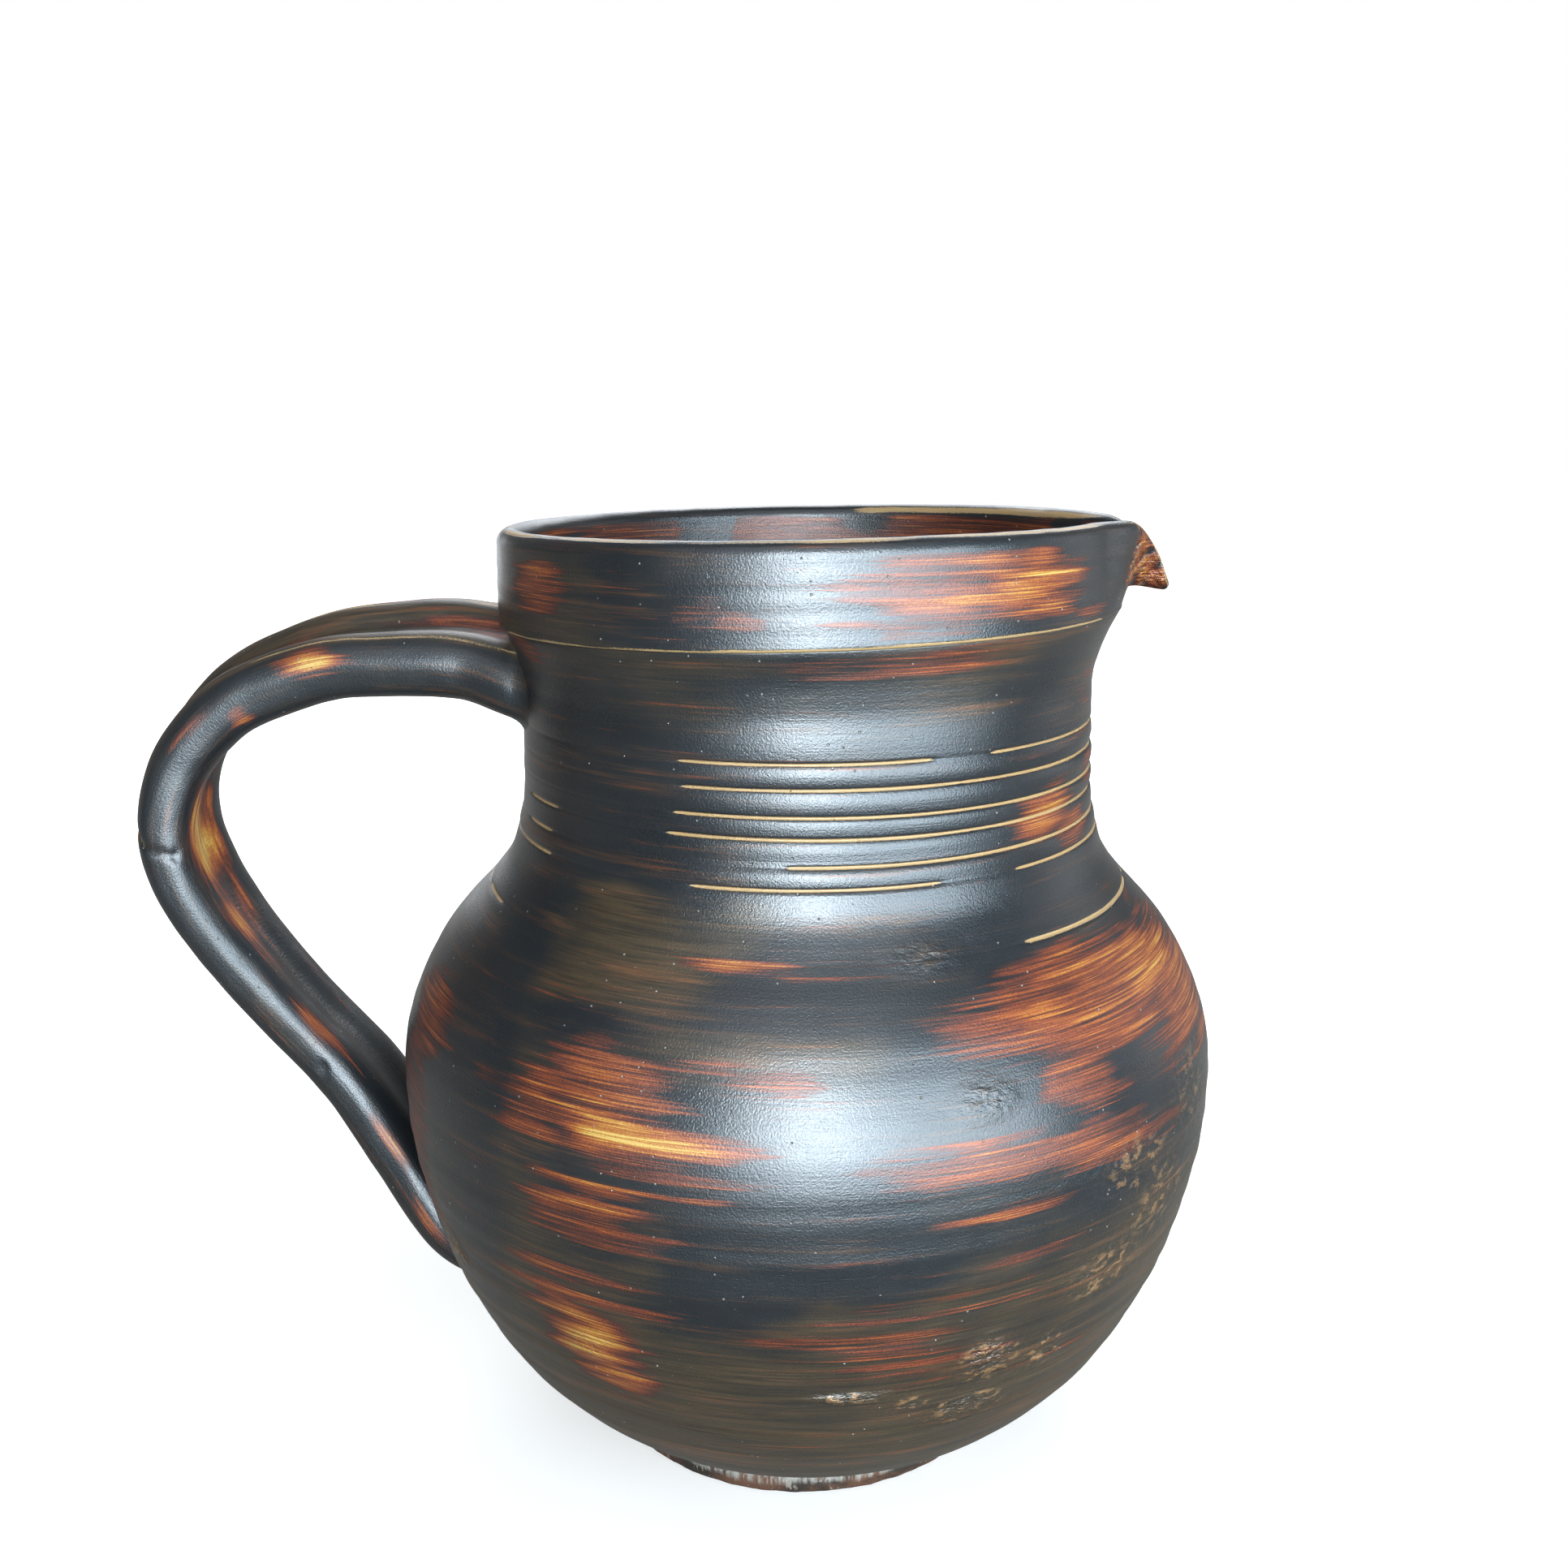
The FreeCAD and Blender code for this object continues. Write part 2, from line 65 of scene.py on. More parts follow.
# How far the thrown wall strays from the outline: height, millimetres outwards.
hand_thrown = (
    (5, -1.8), (9, -1.0), (17, 0.1), (26, 0.3), (42, -0.5), (60, -0.7), (78, -0.1), (96, 0.6),
    (112, 0.3), (124, -0.4), (131, -0.8), (140, 0.1), (150, 0.5), (160, 0.2), (168, 0.0), (181, 0.1),
)
scored_lines = (160.2, 155.4, 150.4, 146.5, 141.6, 137.5, 125.4)
line_depth = (0.34, 0.42, 0.45, 0.42, 0.36, 0.34, 0.30)
WALL_SIDES = 320
WALL_LOW, NECK_TOP = 6.2, 181.0
WALL_DEPTH = 6.2
ROW_STEP, LINE_MARGIN = 1.25, 0.95
LINE_ROWS = (-0.85, -0.5, -0.28, -0.12, 0, 0.12, 0.28, 0.5, 0.85)
INSIDE_LOW, INSIDE_ROWS = 24, 46
LINE_HALF = 0.34
RING_PITCH = 6.3
BEAK_SPREAD, BEAK_SWELL = 24.0, 2.1


def wall_radius(height):
    """Radius of the finished wall at a height, in millimetres."""
    plain = np.interp(height, wall_line[:, 1], wall_line[:, 0])
    return plain + eased(hand_thrown, height)


def tilt(height):
    """How far each millimetre towards the beak lifts the wall: the mouth leans a little."""
    return np.interp(height, (165, 181, 200), (0, 0.027, 0.017))


levels = [WALL_LOW]
while levels[-1] < NECK_TOP - 1:
    slope = float(wall_radius(levels[-1] + 0.5) - wall_radius(levels[-1] - 0.5))
    levels.append(levels[-1] + ROW_STEP / math.hypot(1, slope))
levels = [z for z in levels if min(abs(z - line) for line in scored_lines) > LINE_MARGIN]
for line in scored_lines:
    levels += [line + off for off in LINE_ROWS]
levels = sorted(levels) + [NECK_TOP]
outside = [(float(wall_radius(z)), z) for z in levels]
inside = [(float(wall_radius(z)) - WALL_DEPTH, z) for z in np.linspace(NECK_TOP, INSIDE_LOW, INSIDE_ROWS)]
inside += [(60.5, 19.0), (56.0, 15.8), (50.0, 13.6), (43.0, 12.7)]
base = [(0, 5), (14, 5), (28, 5), (40, 5), (43.6, 5), (45.2, 5.3)]
floor_inside = [(30, 12.6), (16, 12.6), (0, 12.6)]
body_line = base + outside + inside + floor_inside


def spun(name, line, sides):
    """Turn an outline, foot to rim and back, about the upright axis, and number its rows."""
    bm = bmesh.new()
    row = bm.verts.layers.float.new("row")
    points = []
    for number, (across, up) in enumerate(line):
        points.append(bm.verts.new((across * MM, 0, up * MM)))
        points[-1][row] = number
    edges = [bm.edges.new(pair) for pair in zip(points, points[1:])]
    bmesh.ops.spin(bm, geom=points + edges, cent=(0, 0, 0), axis=(0, 0, 1), angle=math.tau,
                   steps=sides, use_merge=True)
    bmesh.ops.remove_doubles(bm, verts=bm.verts, dist=1e-6)
    bmesh.ops.recalc_face_normals(bm, faces=bm.faces)
    mesh = bpy.data.meshes.new(name)
    bm.to_mesh(mesh)
    bm.free()
    piece = bpy.data.objects.new(name, mesh)
    bpy.context.scene.collection.objects.link(piece)
    mesh.shade_smooth()
    return piece


def read_places(mesh):
    places = np.zeros(len(mesh.vertices) * 3)
    mesh.vertices.foreach_get("co", places)
    return places.reshape(-1, 3) / MM


def push_out(places, share):
    """Move each place straight out from the jug's axis, by a share of its distance from it."""
    places[:, 0] *= 1 + share
    places[:, 1] *= 1 + share


def write_places(mesh, places):
    mesh.vertices.foreach_set("co", (places * MM).ravel())
    mesh.update()


def read_rows(mesh):
    rows = np.zeros(len(mesh.vertices))
    mesh.attributes["row"].data.foreach_get("value", rows)
    return rows


def write_mask(mesh, name, values):
    mask = mesh.attributes.new(name, "FLOAT", "POINT")
    mask.data.foreach_set("value", np.clip(values, 0, 1.5).astype(np.float32))


def rough_field(places, across, up, seed):
    """Smooth noise between about -1 and 1 at each place; across and up are its grain in millimetres."""
    shift = Vector((seed * 7.3, seed * 3.1, seed * 5.7))
    return np.array([noise.noise(Vector((x / across, y / across, z / up)) + shift) for x, y, z in places])


def round_the_pot(places):
    """Degrees round the pot: 0 faces the viewer, 90 is the beak and -90 the handle."""
    return np.degrees(np.arctan2(places[:, 0], -places[:, 1]))


def window(value, low, high, soft):
    """1 between low and high, easing to 0 over a soft margin outside them."""
    up = np.clip((value - low) / soft + 1, 0, 1)
    down = np.clip((high - value) / soft + 1, 0, 1)
    return np.minimum(up, down)


body = spun("thrown_body", body_line, WALL_SIDES)
places = read_places(body.data)
rows = read_rows(body.data)
is_outside = (rows >= len(base) - 1) & (rows < len(base) + len(outside))
height = places[:, 2].copy()
turn = round_the_pot(places)
radius = np.maximum(np.hypot(places[:, 0], places[:, 1]), 1)
blotches = rough_field(places, 16, 9, 1)

# Throwing rings climb in a slow spiral; the point's lines fade where the glaze filled them.
climb = height - RING_PITCH * turn / 360
rings = np.sin(math.tau * climb / RING_PITCH + 1.3 * np.sin(climb * 0.13))
rings += 0.5 * np.sin(math.tau * climb / 3.9 + 2)
ring_depth = eased(((6, 0.0), (20, 0.05), (45, 0.10), (70, 0.08), (95, 0.03), (120, 0.03), (160, 0.05),
                    (181, 0.02)), height)
wobble = 0.35 * rough_field(places, 70, 60, 2)
relief = ring_depth * rings + wobble
bulge = np.sin(math.tau * (height - 137.5) / 4.55 - math.pi / 2)
between_lines = window(height, 138, 160, 3) * np.where(np.abs(turn) < 86, window(turn, -22, 90, 14), 1)
relief += 0.15 * between_lines * bulge
gold_windows = (
    ((-22, 21), (36, 84)), ((-21, 27), (29, 84)), ((-23, 84),), ((-24, 84), (-66, -55)),
    ((-2, 84), (-66, -57)), ((-19, 22), (41, 84), (-80, -56)), ((38, 80), (-76, -66)),
)
line_mask = np.zeros(len(height))
for number, (line, depth) in enumerate(zip(scored_lines, line_depth)):
    shown = np.zeros(len(height))
    for low, high in gold_windows[number]:
        shown = np.maximum(shown, window(turn, low, high, 2.5))
    behind = window(np.abs(turn), 86, 180, 6) * (rough_field(places, 22, 4, 20 + number) > -0.12)
    shown = np.clip(np.maximum(shown, behind) + 0.25 * blotches, 0, 1)
    away = height - (line + 0.12 * np.sin(np.radians(turn * 2 + 70 * number)))
    relief -= (0.12 + 0.88 * shown) * depth * np.exp(-(away / LINE_HALF) ** 2)
    line_mask = np.maximum(line_mask, shown * np.exp(-(away / 0.33) ** 2))
push_out(places, np.where(is_outside, relief * window(height, 10, 176, 4), 0.0) / radius)
near_mouth = window(height, NECK_TOP, 400, 14) ** 1.5
under_beak = BEAK_SWELL * np.exp(-((turn - 90) / BEAK_SPREAD) ** 2) * near_mouth
push_out(places, under_beak * is_outside / radius)
places[:, 2] += tilt(height) * places[:, 0]
write_places(body.data, places)

# Where the glaze broke: turn, height, half spread of each, rust, gold. Those in front follow the
# photograph, and those behind are of the same kind.
broken_glaze = (
    (50, 114, 25, 8.5, 1.00, 0.25), (68, 109, 16, 11, 1.00, 0.20), (31, 116, 14, 4.0, 0.80, 0.10),
    (37, 104.5, 7, 6.5, 0.85, 0.25), (46, 120.5, 15, 3.0, 0.75, 0.45), (62, 116, 14, 5.0, 0.70, 0.55),
    (25, 93.4, 17, 2.8, 0.85, 0.10), (38, 92.6, 10, 4.0, 0.80, 0.15), (22, 97.0, 10, 0.7, 0.60, 0.90),
    (25, 84.0, 8, 0.9, 0.80, 0.40), (48, 89, 10, 2.5, 0.50, 0.20), (10, 95, 7, 2.2, 0.50, 0.05),
    (-21, 98.4, 12, 3.8, 1.05, 1.10), (-27, 102.0, 12, 4.4, 0.95, 0.45), (-25, 108.0, 9, 4.4, 0.80, 0.30),
    (-35, 96.3, 6, 1.8, 0.75, 0.35), (-12, 98.3, 9, 1.1, 0.70, 0.55), (-19, 93.0, 11, 1.6, 0.55, 0.15),
    (-23, 88.6, 12, 1.0, 0.75, 0.80), (-27, 84.2, 9, 1.8, 0.85, 0.65), (-26, 79.8, 9, 2.6, 0.60, 0.20),
    (-30, 69.5, 11, 1.6, 0.65, 0.50), (-28, 64.5, 12, 1.6, 0.60, 0.40), (-29.5, 53.5, 7.5, 6.4, 1.05, 1.10),
    (-31.0, 60.0, 8, 3.2, 0.95, 0.80), (-26, 46.5, 6, 4.0, 0.85, 0.80), (-33, 61.0, 6, 1.8, 0.60, 0.60),
    (-11, 125.2, 9, 0.8, 0.70, 0.85), (-3, 124.0, 13, 1.1, 0.45, 0.20),
    (-66, 104, 8, 8, 0.90, 0.15), (-66, 90, 8, 10, 0.60, 0.05),
    (-67, 72, 6, 14, 0.65, 0.10), (-4, 108.5, 6, 1.5, 0.60, 0.10), (-14, 111, 6, 1.0, 0.50, 0.15),
    (7, 61, 12, 2.0, 0.45, 0.45), (12, 57, 13, 1.2, 0.40, 0.30), (22, 69.6, 15, 0.6, 0.45, 0.60),
    (8, 52, 8, 1.2, 0.35, 0.30), (30, 74.5, 9, 1.0, 0.40, 0.25), (50, 146.5, 9, 4.3, 1.00, 0.50),
    (18, 65.6, 20, 0.4, 0.55, 0.60), (27, 58.6, 15, 0.4, 0.50, 0.50), (12, 49.4, 15, 0.4, 0.45, 0.50),
    (4, 68.2, 9, 0.4, 0.50, 0.50), (33, 67.2, 12, 0.4, 0.50, 0.50), (16, 54.6, 13, 0.4, 0.50, 0.55),
    (33, 47.5, 9, 0.5, 0.45, 0.40), (-4, 57.0, 6, 0.4, 0.40, 0.35), (60, 141.5, 8, 3.2, 0.85, 0.40),
    (72, 152, 6, 3.0, 0.50, 0.20), (66, 168, 8, 2.0, 0.35, 0.10),
    (15, 178, 18, 2.5, 0.40, 0.20), (-60, 178, 7, 3.0, 0.50, 0.25),
    (112, 118, 20, 6, 0.85, 0.40), (138, 95, 19, 9, 0.90, 0.50), (150, 78, 15, 3, 0.70, 0.40),
    (172, 62, 18, 7, 0.85, 0.90), (-160, 108, 21, 7, 0.90, 0.35), (-143, 84, 15, 4, 0.75, 0.60),
    (-122, 58, 14, 6, 0.75, 0.50), (102, 66, 14, 5, 0.60, 0.50), (124, 46, 13, 4, 0.55, 0.50),
    (150, 150, 14, 5, 0.80, 0.40), (-128, 143, 12, 4, 0.70, 0.30), (178, 128, 12, 3, 0.60, 0.30),
    (95, 132, 10, 3, 0.60, 0.30), (-100, 112, 7, 6, 0.50, 0.10), (160, 40, 16, 4, 0.50, 0.50),
)


def from_spot(turn, height, middle, level, spread, rise):
    """Distance of each place from the middle of a spot, where 1 is its half spread."""
    return np.hypot(((turn - middle + 180) % 360 - 180) / spread, (height - level) / rise)


def break_masks(patches, places, turn, height, seed):
    """Rust and gold shares at each place, from soft patches with edges feathered along the wheel's turn."""
    feather = 0.55 * rough_field(places, 26, 1.5, seed) + 0.35 * rough_field(places, 9, 4.5, seed + 1)
    rust, gold = np.zeros(len(height)), np.zeros(len(height))
    for *spot, rust_share, gold_share in patches:
        away = from_spot(turn, height, *spot)
        soft = np.clip((1.45 - away + feather) / 0.9, 0, 1)
        soft = soft * soft * (3 - 2 * soft)
        core = np.clip((1.05 - away + feather) / 0.8, 0, 1)
        rust = np.maximum(rust, rust_share * soft)
        gold = np.maximum(gold, gold_share * core)
    return rust, gold


rust, gold = break_masks(broken_glaze, places, turn, height, 3)


def liner_breaks(places, height):
    """Rust share of the glaze inside the neck and mouth, fading into the dark below."""
    return 0.75 * window(rough_field(places, 18, 14, 18), -0.06, 1.0, 0.12) * window(height, 165, 400, 30)


inner_rust = liner_breaks(places, height)
write_mask(body.data, "rust", np.where(is_outside, rust, inner_rust))
write_mask(body.data, "gold", np.where(is_outside, gold, 0))
write_mask(body.data, "line", np.where(is_outside, line_mask, 0))

# The olive of the glaze by height, and the spots that are more or less olive than their height, two of them
# painted shade:
# turn, height, half spread of each, amount. The blisters follow in the same order.
olive_by_height = ((6, 1.0), (40, 0.95), (62, 0.75), (84, 0.28), (100, 0.12), (122, 0.25), (140, 0.05),
                   (160, 0.05), (170, 0.35), (181, 0.40))
olive_and_shade_spots = (
    # The spot at turn -1, height 85 is a painted dark reflection of the ground below the front highlight,
    # and the tall band at turn -50 is painted shade.
    (-27, 126, 16, 9, 0.75), (-42, 100, 9, 26, 0.35), (-1, 85, 10, 8, -0.9), (-8, 76, 6, 7, -0.9),
    (9, 76, 7, 6, -0.5), (-12, 66, 8, 5, -0.6), (-50, 88, 8, 36, -0.8), (-6, 112, 22, 4, 0.35),
    (150, 100, 30, 14, -0.4),
)
blister_spots = (
    (44, 84, 9, 7, 0.5), (52, 72, 8, 9, 0.5), (42, 63, 7, 6, 0.6), (24, 52, 4.5, 5, 1.2),
    (23, 39, 5, 3.5, 1.2), (5, 46.7, 5, 1.8, 1.2), (62, 92, 8, 12, 0.4), (-30, 53, 3, 3.5, 0.7),
    (22, 104, 4, 3, 0.3), (18, 126, 6, 3, 0.3), (34, 49, 3, 5, 0.9), (14, 44, 2.5, 2, 0.8),
    (-58, 58, 4, 4, 1.0), (128, 66, 12, 10, 0.5), (-150, 62, 10, 8, 0.4), (100, 84, 9, 7, 0.35),
)


olive_and_shade = eased(olive_by_height, height) + 0.28 * blotches
for *spot, amount in olive_and_shade_spots:
    olive_and_shade = olive_and_shade + amount * np.clip(1.5 - from_spot(turn, height, *spot) + 0.5 * blotches, 0, 1)
write_mask(body.data, "olive_and_shade", np.where(is_outside, olive_and_shade, 0.3))
blister = np.zeros(len(height))
for *spot, amount in blister_spots:
    share = np.clip(1.4 - from_spot(turn, height, *spot) + 0.4 * blotches, 0, 1)
    blister = np.maximum(blister, amount * share)
write_mask(body.data, "blister", np.where(is_outside, blister, 0))


class Shade:
    """A socket of a finish's nodes that takes part in Python expressions."""

    def __init__(self, tree, socket):
        self.tree, self.socket = tree, socket

    def math(self, operation, left, right):
        node = self.tree.nodes.new("ShaderNodeMath")
        node.operation = operation
        for slot, value in zip(node.inputs, (left, right)):
            if isinstance(value, Shade):
                self.tree.links.new(value.socket, slot)
            else:
                slot.default_value = value
        return Shade(self.tree, node.outputs[0])

    def __add__(self, other):
        return self.math("ADD", self, other)

    def __radd__(self, other):
        return self.math("ADD", other, self)

    def __sub__(self, other):
        return self.math("SUBTRACT", self, other)

    def __rsub__(self, other):
        return self.math("SUBTRACT", other, self)

    def __mul__(self, other):
        return self.math("MULTIPLY", self, other)

    def __rmul__(self, other):
        return self.math("MULTIPLY", other, self)

    def __gt__(self, other):
        return self.math("GREATER_THAN", self, other)

    def __or__(self, other):
        return self.math("MAXIMUM", self, other)


class Finish:
    """A material or a room's air under the hands: it makes nodes, and gives the shader its values."""

    def __init__(self, holder, shader="Principled BSDF", **values):
        holder.use_nodes = True
        self.holder = holder
        self.tree = holder.node_tree
        self.shader = self.tree.nodes[shader]
        for socket, value in values.items():
            self.shader.inputs[socket.replace("_", " ")].default_value = value

    def make(self, kind, values=(), output=0, stops=(), **settings):
        node = self.tree.nodes.new(kind)
        for setting, value in settings.items():
            setattr(node, setting, value)
        for number, (place, colour) in enumerate(stops):
            if number >= len(node.color_ramp.elements):
                node.color_ramp.elements.new(place)
            node.color_ramp.elements[number].position = place
            node.color_ramp.elements[number].color = (*colour, 1)
        for socket, value in dict(values).items():
            if isinstance(value, Shade):
                self.tree.links.new(value.socket, node.inputs[socket])
            else:
                node.inputs[socket].default_value = value
        return Shade(self.tree, node.outputs[output])

    def mask(self, name):
        return self.make("ShaderNodeAttribute", output=2, attribute_name=name)

    def grain(self, vector, scale, detail=2.0, roughness=0.5, seed=0.0):
        """Noise whose three grains, in millimetres, are given by the scale."""
        stretch = self.make("ShaderNodeMapping", {
            "Vector": vector, "Location": (seed, seed * 0.7, seed * 1.3),
            "Scale": tuple(1000 / size for size in scale)})
        return self.make("ShaderNodeTexNoise", {
            "Vector": stretch, "Scale": 1.0, "Detail": detail, "Roughness": roughness})

    def between(self, low, high, value):
        """0 below low, 1 above high, soft between."""
        return self.make("ShaderNodeMapRange", {"Value": value, "From Min": low, "From Max": high},
                         interpolation_type="SMOOTHSTEP")

    def blend(self, share, first, second):
        first, second = [v if isinstance(v, Shade) else (*v, 1) for v in (first, second)]
        return self.make("ShaderNodeMix", {0: share, 6: first, 7: second}, output=2, data_type="RGBA")

    def feed(self, socket, value):
        self.tree.links.new(value.socket, self.shader.inputs[socket])


BLUE_BLACK = (0.010, 0.013, 0.016)
OLIVE_BROWN = (0.080, 0.050, 0.023)
RUST_BREAK = ((0.00, (0.018, 0.007, 0.005)), (0.22, (0.062, 0.014, 0.007)), (0.42, (0.200, 0.037, 0.010)),
              (0.64, (0.420, 0.112, 0.018)), (0.84, (0.600, 0.290, 0.040)), (1.00, (0.780, 0.500, 0.130)))
GOLD_LINE = (0.52, 0.33, 0.145)
DARK_OLIVE = (0.024, 0.018, 0.011)
STRAY_STREAK = (0.190, 0.080, 0.030)
PALE_CLAY = (0.33, 0.29, 0.24)
BLISTER_CREST = (0.42, 0.22, 0.09)


def iron_glaze(name, vector_from, along, gloss):
    """The jug's iron glaze. The vector names where its streaks run; along is their grain in millimetres
    (length, length, width); gloss lowers its roughness."""
    glaze = Finish(bpy.data.materials.new(name), IOR=1.5)
    if vector_from:
        vector = glaze.make("ShaderNodeAttribute", output=1, attribute_name=vector_from)
    else:
        vector = glaze.make("ShaderNodeTexCoord", output=3)

    def brushed(length, width, detail, roughness, seed):
        return glaze.grain(vector, (along[0] * length, along[1] * length, along[2] * width),
                           detail, roughness, seed)

    broad = brushed(1.6, 3.2, 3, 0.55, 3.1)
    streak = brushed(1, 1, 4, 0.62, 1.7)
    fine = brushed(0.6, 0.26, 3, 0.65, 6.3)
    hair = brushed(0.7, 0.13, 2, 0.6, 9.4)
    speck = glaze.grain(vector, (along[2] * 0.22,) * 3, 2, 0.6, 2.2)
    cloud = glaze.grain(vector, (22, 22, 14), 3, 0.55, 8.8)
    rust, gold, line = glaze.mask("rust"), glaze.mask("gold"), glaze.mask("line")
    olive_and_shade, blister = glaze.mask("olive_and_shade"), glaze.mask("blister")

    # Brushed streaks break the edges of each patch, and a few stray ones lie on the dark glaze.
    broken = rust + (streak - 0.5) * 1.1 + (fine - 0.5) * 1.0 + (hair - 0.5) * 0.9
    rust_share = glaze.between(0.18, 0.50, broken)
    stray = glaze.between(0.57, 0.70, streak * 0.45 + broad * 0.35 + hair * 0.30) * 0.9
    heat = (rust * 0.36 + gold * 0.42 + (streak - 0.5) * 0.7 + (fine - 0.5) * 1.1 + (hair - 0.5) * 1.2
            + (speck - 0.5) * 0.4)
    break_colour = glaze.make("ShaderNodeValToRGB", {0: heat}, stops=RUST_BREAK)
    # The olive-brown share. Where the body's spots paint shade and a dark reflection, it falls and leaves
    # the blue-black.
    brown_and_shade = glaze.between(0.10, 1.00, olive_and_shade + (streak - 0.5) * 0.8 + (cloud - 0.5) * 0.7)
    brown_colour = glaze.blend(glaze.between(0.3, 0.7, fine), DARK_OLIVE, OLIVE_BROWN)
    colour = glaze.blend(brown_and_shade, BLUE_BLACK, brown_colour)
    colour = glaze.blend(stray * (brown_and_shade * 0.7 + 0.3), colour, STRAY_STREAK)
    colour = glaze.blend(rust_share, colour, break_colour)

    # Pinholes and burst blisters show paler clay at their edges.
    cell = glaze.make("ShaderNodeMapping", {"Vector": vector, "Scale": (390, 390, 390)})
    pin, chosen = [glaze.make("ShaderNodeTexVoronoi", {"Vector": cell, "Scale": 1.0}, output=number)
                   for number in (0, 1)]
    pin_share = (1 - glaze.between(0.05, 0.12, pin)) * glaze.between(0.44, 0.52, cloud) * (chosen > 0.56)
    froth = glaze.grain(vector, (3.0, 3.0, 1.7), 3, 0.6, 4.4)
    crest = glaze.between(0.52, 0.62, froth) * glaze.between(0.20, 0.6, blister)
    line_share = glaze.between(0.42, 0.72, line * 1.25 + (fine - 0.5) * 0.9 + (speck - 0.5) * 0.5)
    colour = glaze.blend(pin_share * 0.8, colour, PALE_CLAY)
    colour = glaze.blend(crest * 0.6, colour, BLISTER_CREST)
    colour = glaze.blend(line_share, colour, GOLD_LINE)
    glaze.feed("Base Color", colour)
    glaze.feed("Roughness", 0.37 - gloss + rust_share * 0.10 + brown_and_shade * 0.05 + (cloud - 0.5) * 0.22
               + (speck - 0.5) * 0.16 + line_share * 0.12)
    height = (speck * 0.080 + streak * 0.05 + fine * 0.03 + hair * 0.012 + froth * blister * 1.6
              - pin_share * 0.18 - line_share * 0.06)
    glaze.feed("Normal", glaze.make("ShaderNodeBump", {"Strength": 1.0, "Distance": MM, "Height": height}))
    return glaze.holder


wheel_glaze = iron_glaze("dark_iron_glaze", "", (34, 34, 1.7), 0.05)
body.data.materials.append(wheel_glaze)
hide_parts("belly", "neck", "outer_glaze", "liner_glaze")
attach(body, "root")


# The collar and beak: a thick band thrown above the neck, with a round lip. One side of the soft lip
# was pinched and drawn out into the pouring beak, and rough glaze gathered on the beak's flanks.
COLLAR_SIDES, FACE_STEPS, LIP_STEPS, INNER_STEPS = 384, 30, 14, 22
BEAK_HALF_TURN, COLLAR_SWELL = 28.0, 1.5
FACE_LOW, LIP_START = 182.0, 197.25
COLLAR_OUT, COLLAR_TAPER, MOUTH_IN = 64.1, 0.1, 57.1
LIP_MIDDLE, LIP_HALF = 61.25, 2.75
LIP_IN = LIP_MIDDLE - LIP_HALF
collar_line = [(57.5, NECK_TOP), (63.1, NECK_TOP), (63.75, 181.02), (64.05, 181.2), (64.12, 181.55)]
first_face = len(collar_line)
collar_line += [(COLLAR_OUT - COLLAR_TAPER * i / FACE_STEPS,
                 FACE_LOW + (LIP_START - FACE_LOW) * i / FACE_STEPS) for i in range(FACE_STEPS + 1)]
first_lip = len(collar_line)
collar_line += arc(LIP_MIDDLE, LIP_START, LIP_HALF, 0, 180, LIP_STEPS)[1:-1]
first_inner = len(collar_line)
collar_line += [(LIP_IN - (LIP_IN - MOUTH_IN) * (i / INNER_STEPS) ** 1.2,
                 LIP_START - (LIP_START - NECK_TOP) * i / INNER_STEPS) for i in range(INNER_STEPS + 1)]
collar = spun("collar_and_beak", collar_line + collar_line[:1], COLLAR_SIDES)

# The crest of the lip on its way to the beak's tip: share of the way, then its place, its lean from
# upright, the direction it faces and its half thickness.
beak_crest = (
    (0.00, 54.08, 28.75, 200.0, 0, 0.883, 0.469, 2.75), (0.25, 61.3, 19.2, 199.7, 4, 0.80, 0.60, 2.55),
    (0.50, 66.6, 11.0, 198.7, 20, 0.72, 0.69, 2.15), (0.75, 70.7, 6.2, 195.1, 46, 0.72, 0.69, 1.8),
    (0.90, 73.6, 3.5, 190.9, 68, 0.82, 0.57, 1.6), (1.00, 76.3, 0.0, 185.2, 92, 1.0, 0.0, 1.3),
)


def through(rows, share):
    """A smooth run through rows of numbers, read at a share of the way."""
    rows = np.array(rows)
    at = min(max(int(np.searchsorted(rows[:, 0], share, side="right")) - 1, 0), len(rows) - 2)
    a, b = rows[at], rows[at + 1]
    before = rows[at - 1] if at else 2 * a - b
    after = rows[at + 2] if at + 2 < len(rows) else 2 * b - a
    span = b[0] - a[0]
    slope_a = (b - before) / (b[0] - before[0]) * span
    slope_b = (after - a) / (after[0] - a[0]) * span
    t = (share - a[0]) / span
    return ((2 * t**3 - 3 * t**2 + 1) * a + (t**3 - 2 * t**2 + t) * slope_a
            + (3 * t**2 - 2 * t**3) * b + (t**3 - t**2) * slope_b)


def bent(start, start_pull, end_pull, end, share):
    """A point of the curve that leaves one place and reaches another along two pulls."""
    rest = 1 - share
    return (rest**3 * start + 3 * rest**2 * share * start_pull + 3 * rest * share**2 * end_pull
            + share**3 * end)


